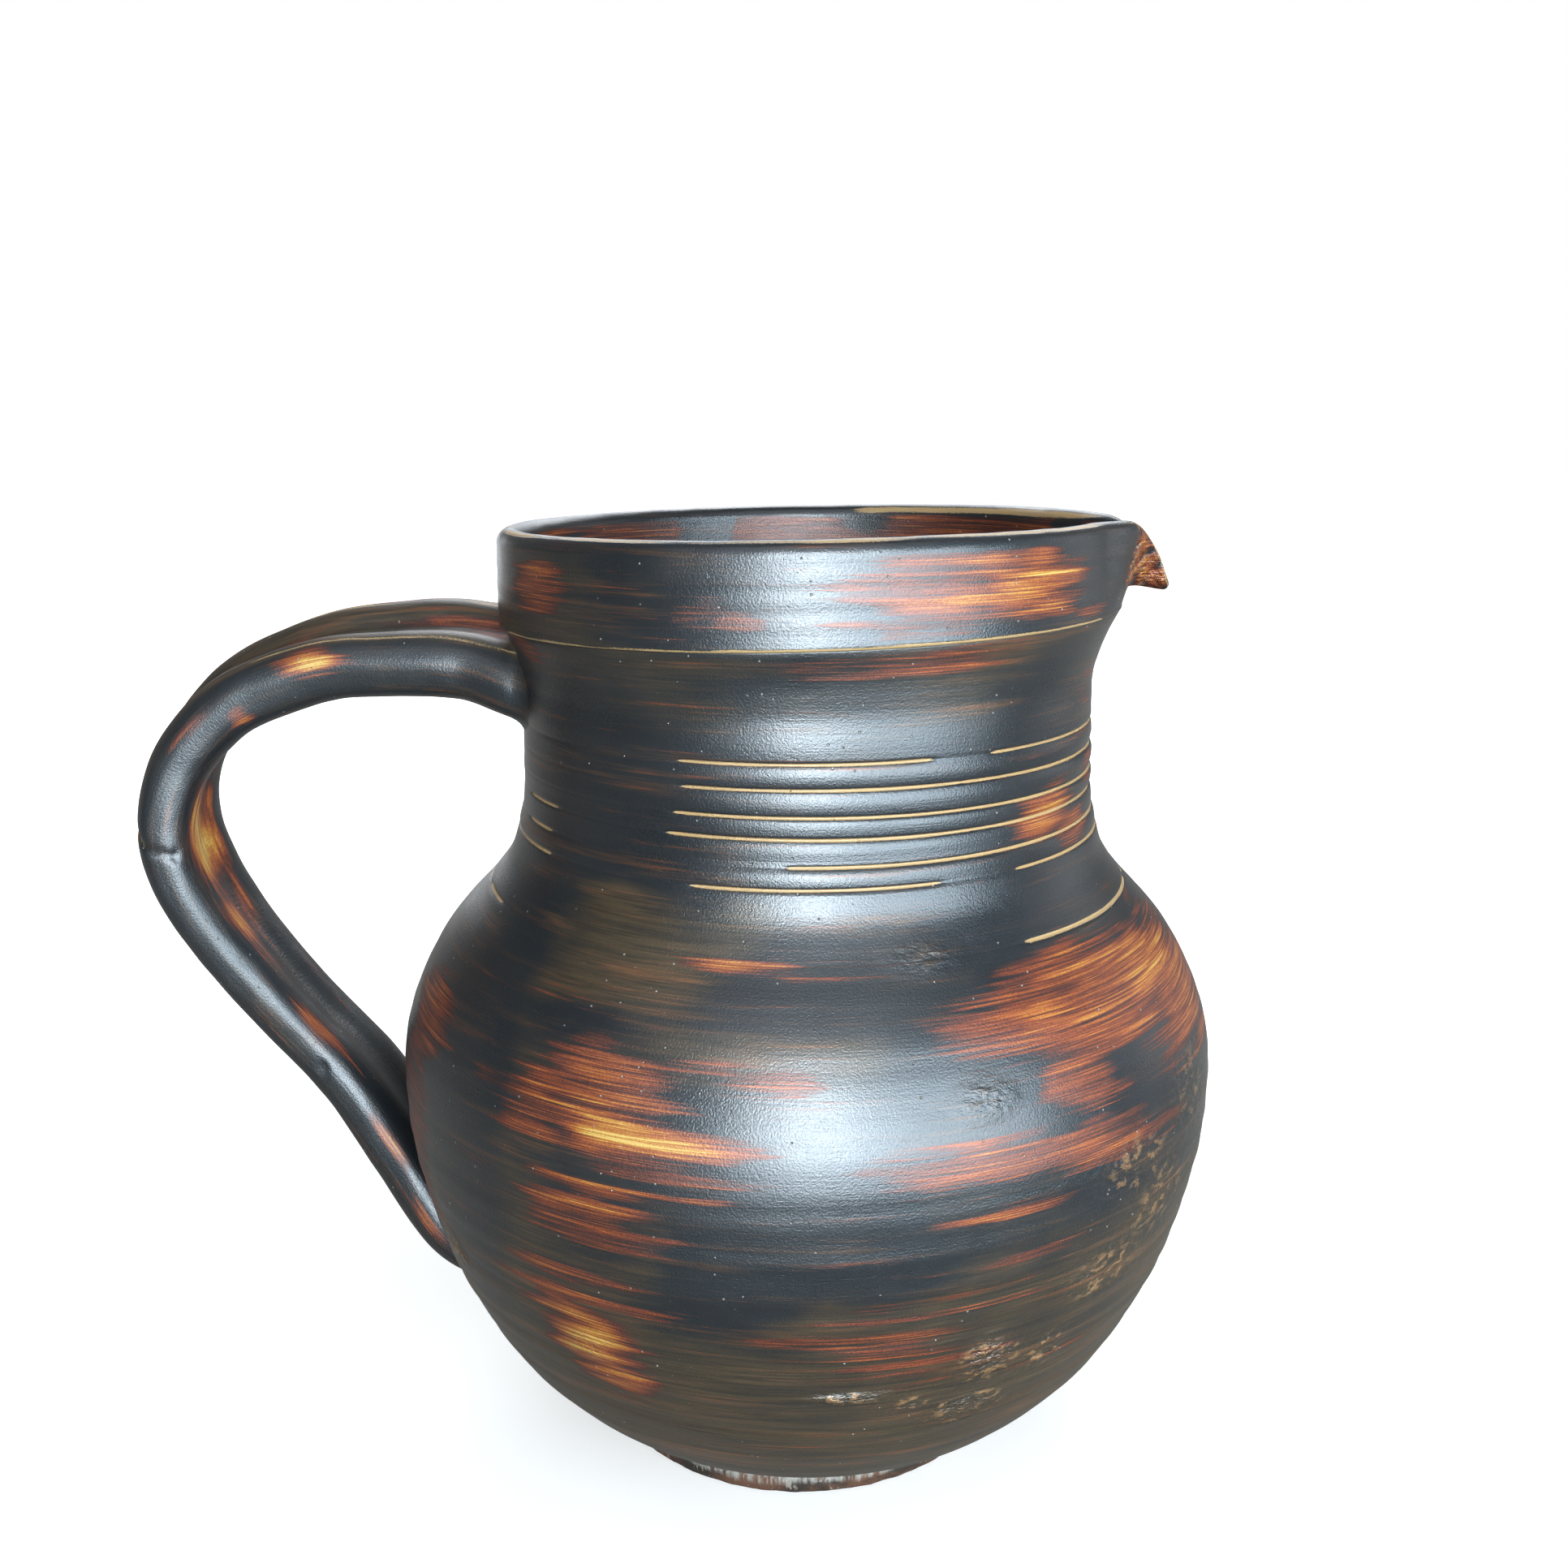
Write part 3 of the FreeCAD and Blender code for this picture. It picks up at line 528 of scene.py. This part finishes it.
places = read_places(collar.data)
rows = np.rint(read_rows(collar.data)).astype(int)
turn = round_the_pot(places)
height = places[:, 2].copy()
from_beak = np.degrees(np.arctan2(places[:, 1], places[:, 0]))
share_out = np.zeros(len(places))
up = np.array((0.0, 0.0, 1.0))
under_beak = COLLAR_SWELL * np.exp(-(from_beak / BEAK_SPREAD) ** 2)
lower_edge = np.where(rows > 0, under_beak, 0) * np.clip((first_lip - rows) / FACE_STEPS, 0, 1)
push_out(places, lower_edge / (COLLAR_OUT - COLLAR_TAPER))
for number, place in enumerate(places):
    side = abs(from_beak[number])
    if side >= BEAK_HALF_TURN or rows[number] < first_face:
        continue
    share = 1 - side / BEAK_HALF_TURN
    share_out[number] = share
    _, x, y, z, lean, face_x, face_y, half = through(beak_crest, share)
    hand = 1.0 if from_beak[number] >= 0 else -1.0
    crest = np.array((x, max(y, 0) * hand, z))
    facing = np.array((face_x, face_y * hand, 0.0))
    facing /= np.linalg.norm(facing)
    lean = math.radians(lean)
    outward = up * math.cos(lean) + facing * math.sin(lean)
    sideways = facing * math.cos(lean) - up * math.sin(lean)
    around = math.radians(from_beak[number])
    ray = np.array((math.cos(around), math.sin(around), 0.0))
    outer = crest - outward * half + sideways * half
    inner = crest - outward * half - sideways * half
    round_wall = places[number].copy()
    if rows[number] < first_lip:
        base_place = ray * (COLLAR_OUT + under_beak[number]) + up * FACE_LOW
        pull = 0.36 * np.linalg.norm(outer - base_place)
        rise = pull + (4.2 - pull) * min(share * 1.6, 1)
        part = (rows[number] - first_face) / FACE_STEPS
        rising = base_place + up * rise + ray * under_beak[number]
        places[number] = bent(base_place, rising, outer - outward * pull, outer, part)
    elif rows[number] < first_inner:
        angle = math.pi * (rows[number] - first_lip + 1) / LIP_STEPS
        places[number] = (crest - outward * half + sideways * half * math.cos(angle)
                          + outward * half * math.sin(angle))
    else:
        foot_place = ray * MOUTH_IN + up * NECK_TOP
        pull = 0.40 * np.linalg.norm(inner - foot_place)
        part = (rows[number] - first_inner) / INNER_STEPS
        places[number] = bent(inner, inner - outward * pull, foot_place + up * pull, foot_place, part)
    drawn = min(share / 0.28, 1)
    places[number] = round_wall + (places[number] - round_wall) * drawn * drawn * (3 - 2 * drawn)
on_face = (rows >= first_face - 2) & (rows < first_lip)
on_lip = (rows >= first_lip) & (rows < first_inner)
face_share = np.clip((rows - first_face) / FACE_STEPS, 0, 1)
outward_move = 0.22 * rough_field(places, 40, 30, 12) + 0.05 * np.sin(math.tau * height / 4.1)
lumps = 0.70 * rough_field(places, 2.3, 2.3, 13) * window(share_out, 0.45, 0.97, 0.12) * face_share
move = np.where(on_face, outward_move * np.sin(math.pi * face_share) + lumps, 0)
move += np.where(on_lip, 0.10 * rough_field(places, 6, 6, 14), 0)
radius = np.maximum(np.hypot(places[:, 0], places[:, 1]), 1)
push_out(places, move / radius)
lift = 0.22 * rough_field(places, 30, 30, 15) + 0.10 * rough_field(places, 7, 7, 16)
places[:, 2] += tilt(height) * places[:, 0] + np.where(rows >= first_lip - 4, lift, 0) * (share_out < 0.8)
write_places(collar.data, places)

collar_breaks = (
    (36, 190.5, 15, 6.0, 1.00, 0.80), (23, 190, 16, 6.0, 0.85, 0.30), (44, 186.5, 9, 2.2, 0.80, 0.75),
    (14, 192.5, 9, 3.0, 0.50, 0.15), (-11, 186.4, 4, 1.8, 0.80, 0.00), (-16, 187.5, 5, 3.2, 0.35, 0.00),
    (-52, 190.5, 8, 4.4, 0.75, 0.35), (9, 185.6, 8, 0.9, 0.55, 0.10), (22, 195.2, 14, 0.6, 0.45, 0.45),
    (58, 183.5, 6, 1.5, 0.45, 0.30), (140, 190, 18, 5, 0.80, 0.50), (-150, 188, 16, 4, 0.70, 0.50),
    (172, 193, 12, 3, 0.60, 0.30), (112, 187, 9, 3, 0.50, 0.30),
)
rust, gold = break_masks(collar_breaks, places, turn, height, 17)
lip_turn = np.clip((rows - first_lip + 1) / LIP_STEPS, 0, 1)
flank = window(face_share, 0.42, 1.0, 0.2) * on_face + on_lip * (lip_turn < 0.6)
flank *= window(share_out, 0.50, 0.96, 0.10)
flank *= np.clip(0.72 + 1.1 * rough_field(places, 2.0, 2.0, 24), 0, 1)
inner_rust = liner_breaks(places, height) * (rows >= first_inner)
rust = np.maximum(np.where(on_face, rust, 0), flank) + inner_rust
write_mask(collar.data, "rust", rust)
write_mask(collar.data, "gold", np.maximum(np.where(on_face, gold, 0), 0.55 * flank))
edge = np.exp(-((lip_turn - 0.38) / 0.10) ** 2) * on_lip * (0.58 + 0.5 * rough_field(places, 20, 5, 19))
inner_edge = np.exp(-((lip_turn - 0.80) / 0.12) ** 2) * on_lip * window(turn, 110, 165, 8)
bare_ledge = np.maximum(window(turn, -64, 60, 4), rough_field(places, 26, 9, 22) > -0.1)
ledge = bare_ledge * np.exp(-((rows - (first_face - 2.2)) / 1.3) ** 2)
ledge *= eased(((-180, 1.0), (-64, 1.0), (-56, 0.62), (-16, 0.66), (-12, 1.1), (90, 1.1), (180, 1.0)), turn)
write_mask(collar.data, "line", np.maximum(np.maximum(edge, 0.8 * inner_edge), ledge))
write_mask(collar.data, "olive_and_shade", np.where(on_face, 0.10 + 0.3 * rough_field(places, 16, 9, 23), 0.10)
           + 0.4 * window(turn, -75, -40, 8) * on_face)
write_mask(collar.data, "blister", 1.3 * flank)
collar.data.materials.append(wheel_glaze)
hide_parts("collar", "spout")
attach(collar, "root")


# The handle: a strap pulled from a lump of wet clay, pressed on under the collar and smeared down the
# belly. Two rounded ridges run along it with a channel between them, outside and inside, and the
# clay was wiped into soft fillets where it meets the wall.
STRAP_LINES, STRAP_RUN, FILLET_RUN = 88, 230, 12
strap_path = np.array((
    (-41.0, 164.0), (-57.3, 169.9), (-75.3, 173.6), (-99.7, 172.2), (-121.6, 164.0), (-133.0, 152.6),
    (-136.9, 141.1), (-137.3, 133.3), (-135.6, 126.0), (-131.8, 117.5), (-124.4, 105.5), (-113.1, 91.0),
    (-102.2, 78.3), (-97.3, 70.7), (-94.2, 64.8), (-90.3, 57.3), (-81.4, 42.2), (-75.0, 36.4),
    (-62.0, 32.5)))
strap_half_width = ((-0.1, 22), (0, 19), (0.07, 15.5), (0.25, 13.4), (0.5, 16.0), (0.75, 12.4), (0.90, 14),
                    (1, 17), (1.1, 15))
strap_half_thickness = ((-0.1, 8.8), (0, 8.2), (0.25, 7.9), (0.5, 6.3), (0.75, 6.2), (0.9, 6.2), (1, 6.2),
                        (1.1, 6.0))
strap_roll = ((-0.1, 16), (0.1, 17), (0.35, 11), (0.55, 1), (0.8, -3), (1.1, 0))
strap_dip = ((-0.1, 0.25), (0.04, 0.42), (0.12, 0.50), (0.5, 0.46), (0.7, 0.34), (0.9, 0.12), (1.1, 0.0))
strap_wrap = ((-0.1, 0.3), (0.1, 0.0), (0.7, 0.0), (0.95, 1.0), (1.1, 1.0))
UPPER_FILLET, LOWER_FILLET = 4.5, 3.0
CHANNEL_HALF = 0.36
WRAP_RADIUS = 82.5
STRAP_LENGTH = 210

chord = np.concatenate(([0], np.cumsum(np.hypot(*np.diff(strap_path, axis=0).T))))
fine = np.arange(0, chord[-1], 0.5)
centre = np.column_stack([np.interp(fine, chord, strap_path[:, axis]) for axis in (0, 1)])
kernel = np.hanning(57) / np.hanning(57).sum()
padded = np.vstack((centre[:1] + (np.arange(-28, 0)[:, None] * (centre[1] - centre[0])), centre,
                    centre[-1:] + (np.arange(1, 29)[:, None] * (centre[-1] - centre[-2]))))
centre = np.column_stack([np.convolve(padded[:, axis], kernel, mode="valid") for axis in (0, 1)])
run_length = chord[-3] - chord[1]
run_share = (fine - chord[1]) / run_length
heading = np.gradient(centre, axis=0)
heading /= np.linalg.norm(heading, axis=1)[:, None]
spine = np.column_stack((centre[:, 0], np.zeros(len(fine)), centre[:, 1]))
face_out = np.column_stack((heading[:, 1], np.zeros(len(fine)), -heading[:, 0]))
across = np.array((0.0, 1.0, 0.0))
turns = math.tau * np.arange(STRAP_LINES) / STRAP_LINES
flat_edge = eased(((0, 0.95), (0.25, 0.85), (0.5, 0.62), (1, 0.66)), run_share)[:, None]
wide = np.sign(np.cos(turns)) * np.abs(np.cos(turns)) ** flat_edge
thick = np.sign(np.sin(turns)) * np.abs(np.sin(turns)) ** 0.70
half_width, half_thickness = eased(strap_half_width, run_share), eased(strap_half_thickness, run_share)
roll = np.radians(eased(strap_roll, run_share))[:, None, None]
sideways = half_width[:, None] * wide
channel = eased(strap_dip, run_share)[:, None] * np.exp(-(wide / CHANNEL_HALF) ** 2) * np.sign(thick)
channel *= np.where(thick > 0, 1.0, 0.8)
lifted = half_thickness[:, None] * (thick - channel)
lifted = lifted - eased(strap_wrap, run_share)[:, None] * sideways ** 2 / (2 * WRAP_RADIUS)
strap = (spine[:, None] + sideways[..., None] * (across * np.cos(roll) + face_out[:, None] * np.sin(roll))
         + lifted[..., None] * (face_out[:, None] * np.cos(roll) - across * np.sin(roll)))
clear = np.hypot(strap[..., 0], strap[..., 1]) - wall_radius(strap[..., 2])


def wiped_root(line, crossing, inward, fillet):
    """The fillet of one lengthwise line: from inside the wall, over the wiped clay, on to the strap."""
    meets = strap[crossing, line]
    away = meets - spine[crossing]
    level = np.array((meets[0], meets[1], 0.0)) / np.hypot(meets[0], meets[1])
    fall = float(wall_radius(meets[2] + 0.5) - wall_radius(meets[2] - 0.5))
    normal = level - up * fall
    normal /= np.linalg.norm(normal)
    away -= normal * away.dot(normal)
    away /= max(np.linalg.norm(away), 1e-6)
    wall_place = meets + away * fillet
    shrink = (wall_radius(wall_place[2]) - 0.25) / np.hypot(wall_place[0], wall_place[1])
    wall_place[:2] *= shrink
    steps = int(fillet * 2.2)
    onward = strap[crossing - inward * steps, line]
    curve = [wall_place - normal * 1.2]
    for i in range(FILLET_RUN):
        share = i / FILLET_RUN
        curve.append((1 - share) ** 2 * wall_place + 2 * share * (1 - share) * meets + share**2 * onward)
    return curve, crossing - inward * steps


strap_grid, grid_share = [], []
middle = int(np.argmin(np.abs(run_share - 0.4)))
for line in range(STRAP_LINES):
    inside_wall = clear[:, line] < 0
    first = int(np.nonzero(inside_wall[:middle])[0][-1])
    last = middle + int(np.nonzero(inside_wall[middle:])[0][0])
    start, first_free = wiped_root(line, first, -1, UPPER_FILLET)
    finish, last_free = wiped_root(line, last, 1, LOWER_FILLET)
    stations = np.linspace(first_free, last_free, STRAP_RUN + 1)
    between = np.column_stack([np.interp(stations, np.arange(len(fine)), strap[:, line, axis])
                               for axis in range(3)])
    strap_grid.append(np.vstack((start, between, finish[::-1])))
    ends = FILLET_RUN + 1
    grid_share.append(np.concatenate((
        np.linspace(run_share[first] - 0.02, run_share[first_free], ends, endpoint=False),
        np.interp(stations, np.arange(len(fine)), run_share),
        np.linspace(run_share[last_free], run_share[last] + 0.02, ends + 1)[1:])))
strap_grid = np.array(strap_grid + strap_grid[:1])
grid_share = np.array(grid_share + grid_share[:1])
lines, length = strap_grid.shape[:2]

bm = bmesh.new()
bmesh.ops.create_grid(bm, x_segments=length - 1, y_segments=lines - 1, size=0.5)
share_layer = bm.verts.layers.float.new("share")
turn_layer = bm.verts.layers.float.new("turn")
for vert in bm.verts:
    line = int(round((vert.co.y + 0.5) * (lines - 1)))
    station = int(round((vert.co.x + 0.5) * (length - 1)))
    vert.co = Vector(strap_grid[line, station] * MM)
    vert[share_layer] = grid_share[line, station]
    vert[turn_layer] = 360 * (line % STRAP_LINES) / STRAP_LINES
bmesh.ops.remove_doubles(bm, verts=bm.verts, dist=1e-6)
bmesh.ops.holes_fill(bm, edges=[e for e in bm.edges if e.is_boundary], sides=0)
bmesh.ops.recalc_face_normals(bm, faces=bm.faces)
mesh = bpy.data.meshes.new("strap_handle")
bm.to_mesh(mesh)
bm.free()
handle = bpy.data.objects.new("strap_handle", mesh)
bpy.context.scene.collection.objects.link(handle)
mesh.shade_smooth()

places = read_places(mesh)
along, around = np.zeros(len(places)), np.zeros(len(places))
mesh.attributes["share"].data.foreach_get("value", along)
mesh.attributes["turn"].data.foreach_get("value", around)
pulled = np.column_stack((along * run_length, 12 * np.cos(np.radians(around)),
                          9 * np.sin(np.radians(around))))
normals = np.zeros(len(places) * 3)
mesh.vertices.foreach_get("normal", normals)
hand_marks = 0.35 * rough_field(pulled, 26, 9, 40) + 0.10 * rough_field(pulled, 6, 3, 41)
hand_marks *= window(along, 0.04, 0.97, 0.05)
crease_at = 0.47 + (around - 120) * 0.0004
crease = np.exp(-((along - crease_at) * STRAP_LENGTH / 0.9) ** 2) * window(around, 112, 200, 10)
hand_marks -= 0.55 * crease
for middle, level, size, depth in ((0.775, 184, 1.3, 0.5), (0.70, 168, 1.0, 0.35), (0.50, 205, 1.5, 0.4)):
    off = np.hypot((along - middle) * STRAP_LENGTH, (around - level) * 0.2)
    hand_marks -= depth * np.exp(-(off / size) ** 2)
write_places(mesh, places + normals.reshape(-1, 3) * hand_marks[:, None])
grain_way = mesh.attributes.new("pulled", "FLOAT_VECTOR", "POINT")
grain_way.data.foreach_set("vector", (pulled * MM).astype(np.float32).ravel())

# Share of the way along, turn round the strap (0 far edge, 90 outer face, 180 near edge, 270 inner
# face), half spread of each, rust, gold.
strap_breaks = (
    (0.215, 158, 0.034, 19, 1.00, 1.20), (0.305, 192, 0.014, 13, 0.80, 0.40),
    (0.47, 256, 0.095, 24, 1.10, 1.15), (0.61, 252, 0.045, 15, 0.80, 0.80),
    (0.74, 228, 0.045, 15, 0.90, 0.50), (0.88, 196, 0.034, 12, 0.90, 0.60),
    (0.975, 178, 0.040, 7, 0.80, 0.85), (0.05, 219, 0.050, 6, 0.95, 0.95),
    (0.44, 112, 0.055, 13, 0.75, 0.60), (0.05, 98, 0.035, 12, 0.60, 0.20),
    (0.28, 88, 0.050, 9, 0.60, 0.40), (0.68, 60, 0.060, 14, 0.75, 0.50),
    (0.34, 20, 0.050, 16, 0.80, 0.50), (0.82, 110, 0.040, 12, 0.60, 0.30),
    (0.16, 300, 0.050, 12, 0.60, 0.30), (0.93, 20, 0.040, 12, 0.70, 0.60),
    (0.13, 44, 0.080, 7, 0.80, 0.75), (0.10, 84, 0.070, 6, 0.60, 0.25),
    (0.49, 128, 0.020, 9, 0.80, 0.60), (0.36, 165, 0.030, 10, 0.45, 0.05),
)
feather = 0.55 * rough_field(pulled, 22, 1.6, 42) + 0.35 * rough_field(pulled, 8, 4, 43)
rust, gold = np.zeros(len(places)), np.zeros(len(places))
for middle, level, spread, rise, rust_share, gold_share in strap_breaks:
    away = np.hypot((along - middle) / spread, ((around - level + 180) % 360 - 180) / rise)
    rust = np.maximum(rust, rust_share * np.clip((1.45 - away + feather) / 0.9, 0, 1))
    gold = np.maximum(gold, gold_share * np.clip((1.05 - away + feather) / 0.8, 0, 1))
write_mask(mesh, "rust", rust)
write_mask(mesh, "gold", gold)
near_crest = np.exp(-((around - 128 - 6 * feather) / 3) ** 2) * window(along, -0.02, 0.27, 0.04)
far_crest = np.exp(-((around - 56 - 6 * feather) / 5) ** 2) * window(along, 0, 0.3, 0.06)
worn_crest = 0.75 * np.maximum(near_crest, far_crest) * (0.8 + 0.6 * feather)
write_mask(mesh, "line", worn_crest + 0.5 * crease * window(around, 112, 160, 8))
write_mask(mesh, "olive_and_shade", 0.2 + 0.3 * feather + 0.9 * window(around, 30, 125, 12))
write_mask(mesh, "blister", np.zeros(len(places)))
mesh.materials.append(iron_glaze("strap_iron_glaze", "pulled", (26, 1.9, 1.9), -0.03))
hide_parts("handle", "handle_glaze", "upper_slip", "lower_slip")
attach(handle, "root")


# The foot ring: a low ring of bare brown clay turned under the base, chipped and stained where the
# jug has stood, and a little off the middle.
FOOT_SIDES = 256
FOOT_ASIDE = 1.2
foot_line = [(35.5, 5.0), (35.5, 0.9), (36.3, 0.0), (42.4, 0.0), (43.6, 0.4), (44.3, 1.2), (44.7, 2.5),
             (44.8, 3.8), (44.5, 4.6), (44.2, 5.0)]
foot = spun("foot", foot_line + foot_line[:1], FOOT_SIDES)
places = read_places(foot.data)
worn = rough_field(places, 5, 3, 30) * 0.30 + rough_field(places, 1.8, 1.4, 31) * 0.16
radius = np.hypot(places[:, 0], places[:, 1])
standing = (places[:, 2] > 0.2) & (places[:, 2] < 4.7) & (radius > 40)
push_out(places, np.where(standing, worn, 0) / radius)
places[:, 0] -= FOOT_ASIDE
write_places(foot.data, places)

STAINED_CLAY = (0.030, 0.018, 0.011)
BROWN_CLAY = (0.145, 0.060, 0.030)
SCRATCHED_CLAY = (0.34, 0.28, 0.22)
RUBBED_EDGE = (0.42, 0.37, 0.31)
clay = Finish(bpy.data.materials.new("bare_foot_clay"), Roughness=0.8, IOR=1.45, Specular_IOR_Level=0.3)
spot = clay.make("ShaderNodeTexCoord", output=3)
scratches = clay.grain(spot, (1.1, 1.1, 9.0), 3, 0.6, 1.0)
stain = clay.grain(spot, (9, 9, 5), 3, 0.6, 2.0)
grit = clay.grain(spot, (0.5, 0.5, 0.5), 2, 0.6, 3.0)
clay_colour = clay.blend(clay.between(0.40, 0.62, stain), STAINED_CLAY, BROWN_CLAY)
clay_colour = clay.blend(clay.between(0.58, 0.68, scratches), clay_colour, SCRATCHED_CLAY)
height_up = clay.make("ShaderNodeSeparateXYZ", {0: spot}, output=2)
pale_edge = clay.between(0.0026, 0.0042, height_up + (stain - 0.5) * 0.003)
clay_colour = clay.blend(pale_edge * clay.between(0.35, 0.6, scratches), clay_colour, RUBBED_EDGE)
clay.feed("Base Color", clay_colour)
clay.feed("Roughness", 0.62 + stain * 0.3)
clay.feed("Normal", clay.make("ShaderNodeBump", {
    "Strength": 1.0, "Distance": MM, "Height": scratches * 0.12 + grit * 0.10}))
foot.data.materials.append(clay.holder)
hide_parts("foot_ring")
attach(foot, "root")


# The room: a plain pale floor that runs out into a white background, as in the cut-out photograph.
FLOOR_SIZE = 4.0
bm = bmesh.new()
bmesh.ops.create_grid(bm, x_segments=1, y_segments=1, size=FLOOR_SIZE)
mesh = bpy.data.meshes.new("floor")
bm.to_mesh(mesh)
bm.free()
floor = bpy.data.objects.new("floor", mesh)
bpy.context.scene.collection.objects.link(floor)
MIRRORED_SHARE = 0.22
UNSEEN_AIR = (0.045, 0.042, 0.037)
WHITE = (1.0, 1.0, 1.0)


def sight(finish):
    """1 for what the camera sees, and a share of it for what is seen in a mirror or through glass."""
    straight, glossy, passed = [finish.make("ShaderNodeLightPath", output=f"Is {ray} Ray")
                                for ray in ("Camera", "Glossy", "Transmission")]
    return straight | (glossy | passed) * MIRRORED_SHARE


pale = Finish(bpy.data.materials.new("pale_floor"), Roughness=0.9, Specular_IOR_Level=0.1,
              Emission_Strength=1.0)
seen = sight(pale)
spot = pale.make("ShaderNodeTexCoord", output=3)
distance = pale.make("ShaderNodeVectorMath", {0: spot}, output=1, operation="LENGTH")
far_off = pale.between(0.10, 0.36, distance)
pale.feed("Base Color", pale.blend(seen, (0.17, 0.145, 0.11), (0.60, 0.60, 0.58)))
glow = pale.blend(far_off, (0.62, 0.62, 0.62), (1.2, 1.2, 1.2))
pale.feed("Emission Color", pale.blend(seen, (0.0, 0.0, 0.0), glow))
floor.data.materials.append(pale.holder)

air = Finish(bpy.data.worlds.new("studio"), "Background")
air.feed("Color", air.blend(sight(air), UNSEEN_AIR, WHITE))
bpy.context.scene.world = air.holder


# The light: two windows in front that show only as gleams in the glaze, a broad pale one that lights
# the jug, a cool sky above, and soft fills behind it, at the handle's side and at the beak's.
def softbox(name, azimuth, elevation, distance, width, tall, power, colour):
    """A rectangular lamp seen from the jug's middle at a bearing and height in degrees, facing it."""
    lamp = bpy.data.lights.new(name, "AREA")
    lamp.shape = "RECTANGLE"
    lamp.size, lamp.size_y = width, tall
    lamp.energy = power
    lamp.color = colour
    holder = bpy.data.objects.new(name, lamp)
    bpy.context.scene.collection.objects.link(holder)
    a, e = math.radians(azimuth), math.radians(elevation)
    way = Vector((math.sin(a) * math.cos(e), -math.cos(a) * math.cos(e), math.sin(e)))
    holder.location = Vector((0, 0, 0.13)) + way * distance
    holder.rotation_euler = way.to_track_quat("Z", "Y").to_euler()
    return holder


softbox("front_window", -1, 13, 0.52, 0.16, 0.36, 5.6, (0.85, 0.94, 1.0)).visible_diffuse = False
softbox("window_gleam", 22, 7, 0.60, 0.86, 0.40, 13.0, (0.72, 0.88, 1.0)).visible_diffuse = False
softbox("broad_window", 22, 7, 0.62, 0.86, 0.40, 7.4, (0.72, 0.88, 1.0))
softbox("broad_sky", 2, 58, 1.9, 2.2, 1.3, 18, (0.86, 0.93, 1.0))
softbox("rear_fill", 178, 34, 1.5, 1.2, 0.8, 15.0, (0.88, 0.94, 1.0))
softbox("left_fill", -158, 2, 1.2, 0.5, 0.24, 1.0, (0.9, 0.95, 1.0))
softbox("right_fill", 108, 12, 1.2, 0.5, 0.8, 1.8, (0.95, 0.97, 1.0))

# The camera stands where the photograph was taken from: close by and a little above the mouth.
eye = bpy.data.cameras.new("camera")
eye.lens = 36
eye.sensor_width = 36
eye.shift_x = -0.0147
eye.clip_start = 0.01
camera = bpy.data.objects.new("camera", eye)
camera.location = (0, -0.33194, 0.21905)
camera.rotation_euler = (math.radians(77.13), 0, 0)
bpy.context.scene.collection.objects.link(camera)
bpy.context.scene.camera = camera
bpy.context.scene.view_settings.view_transform = "Standard"
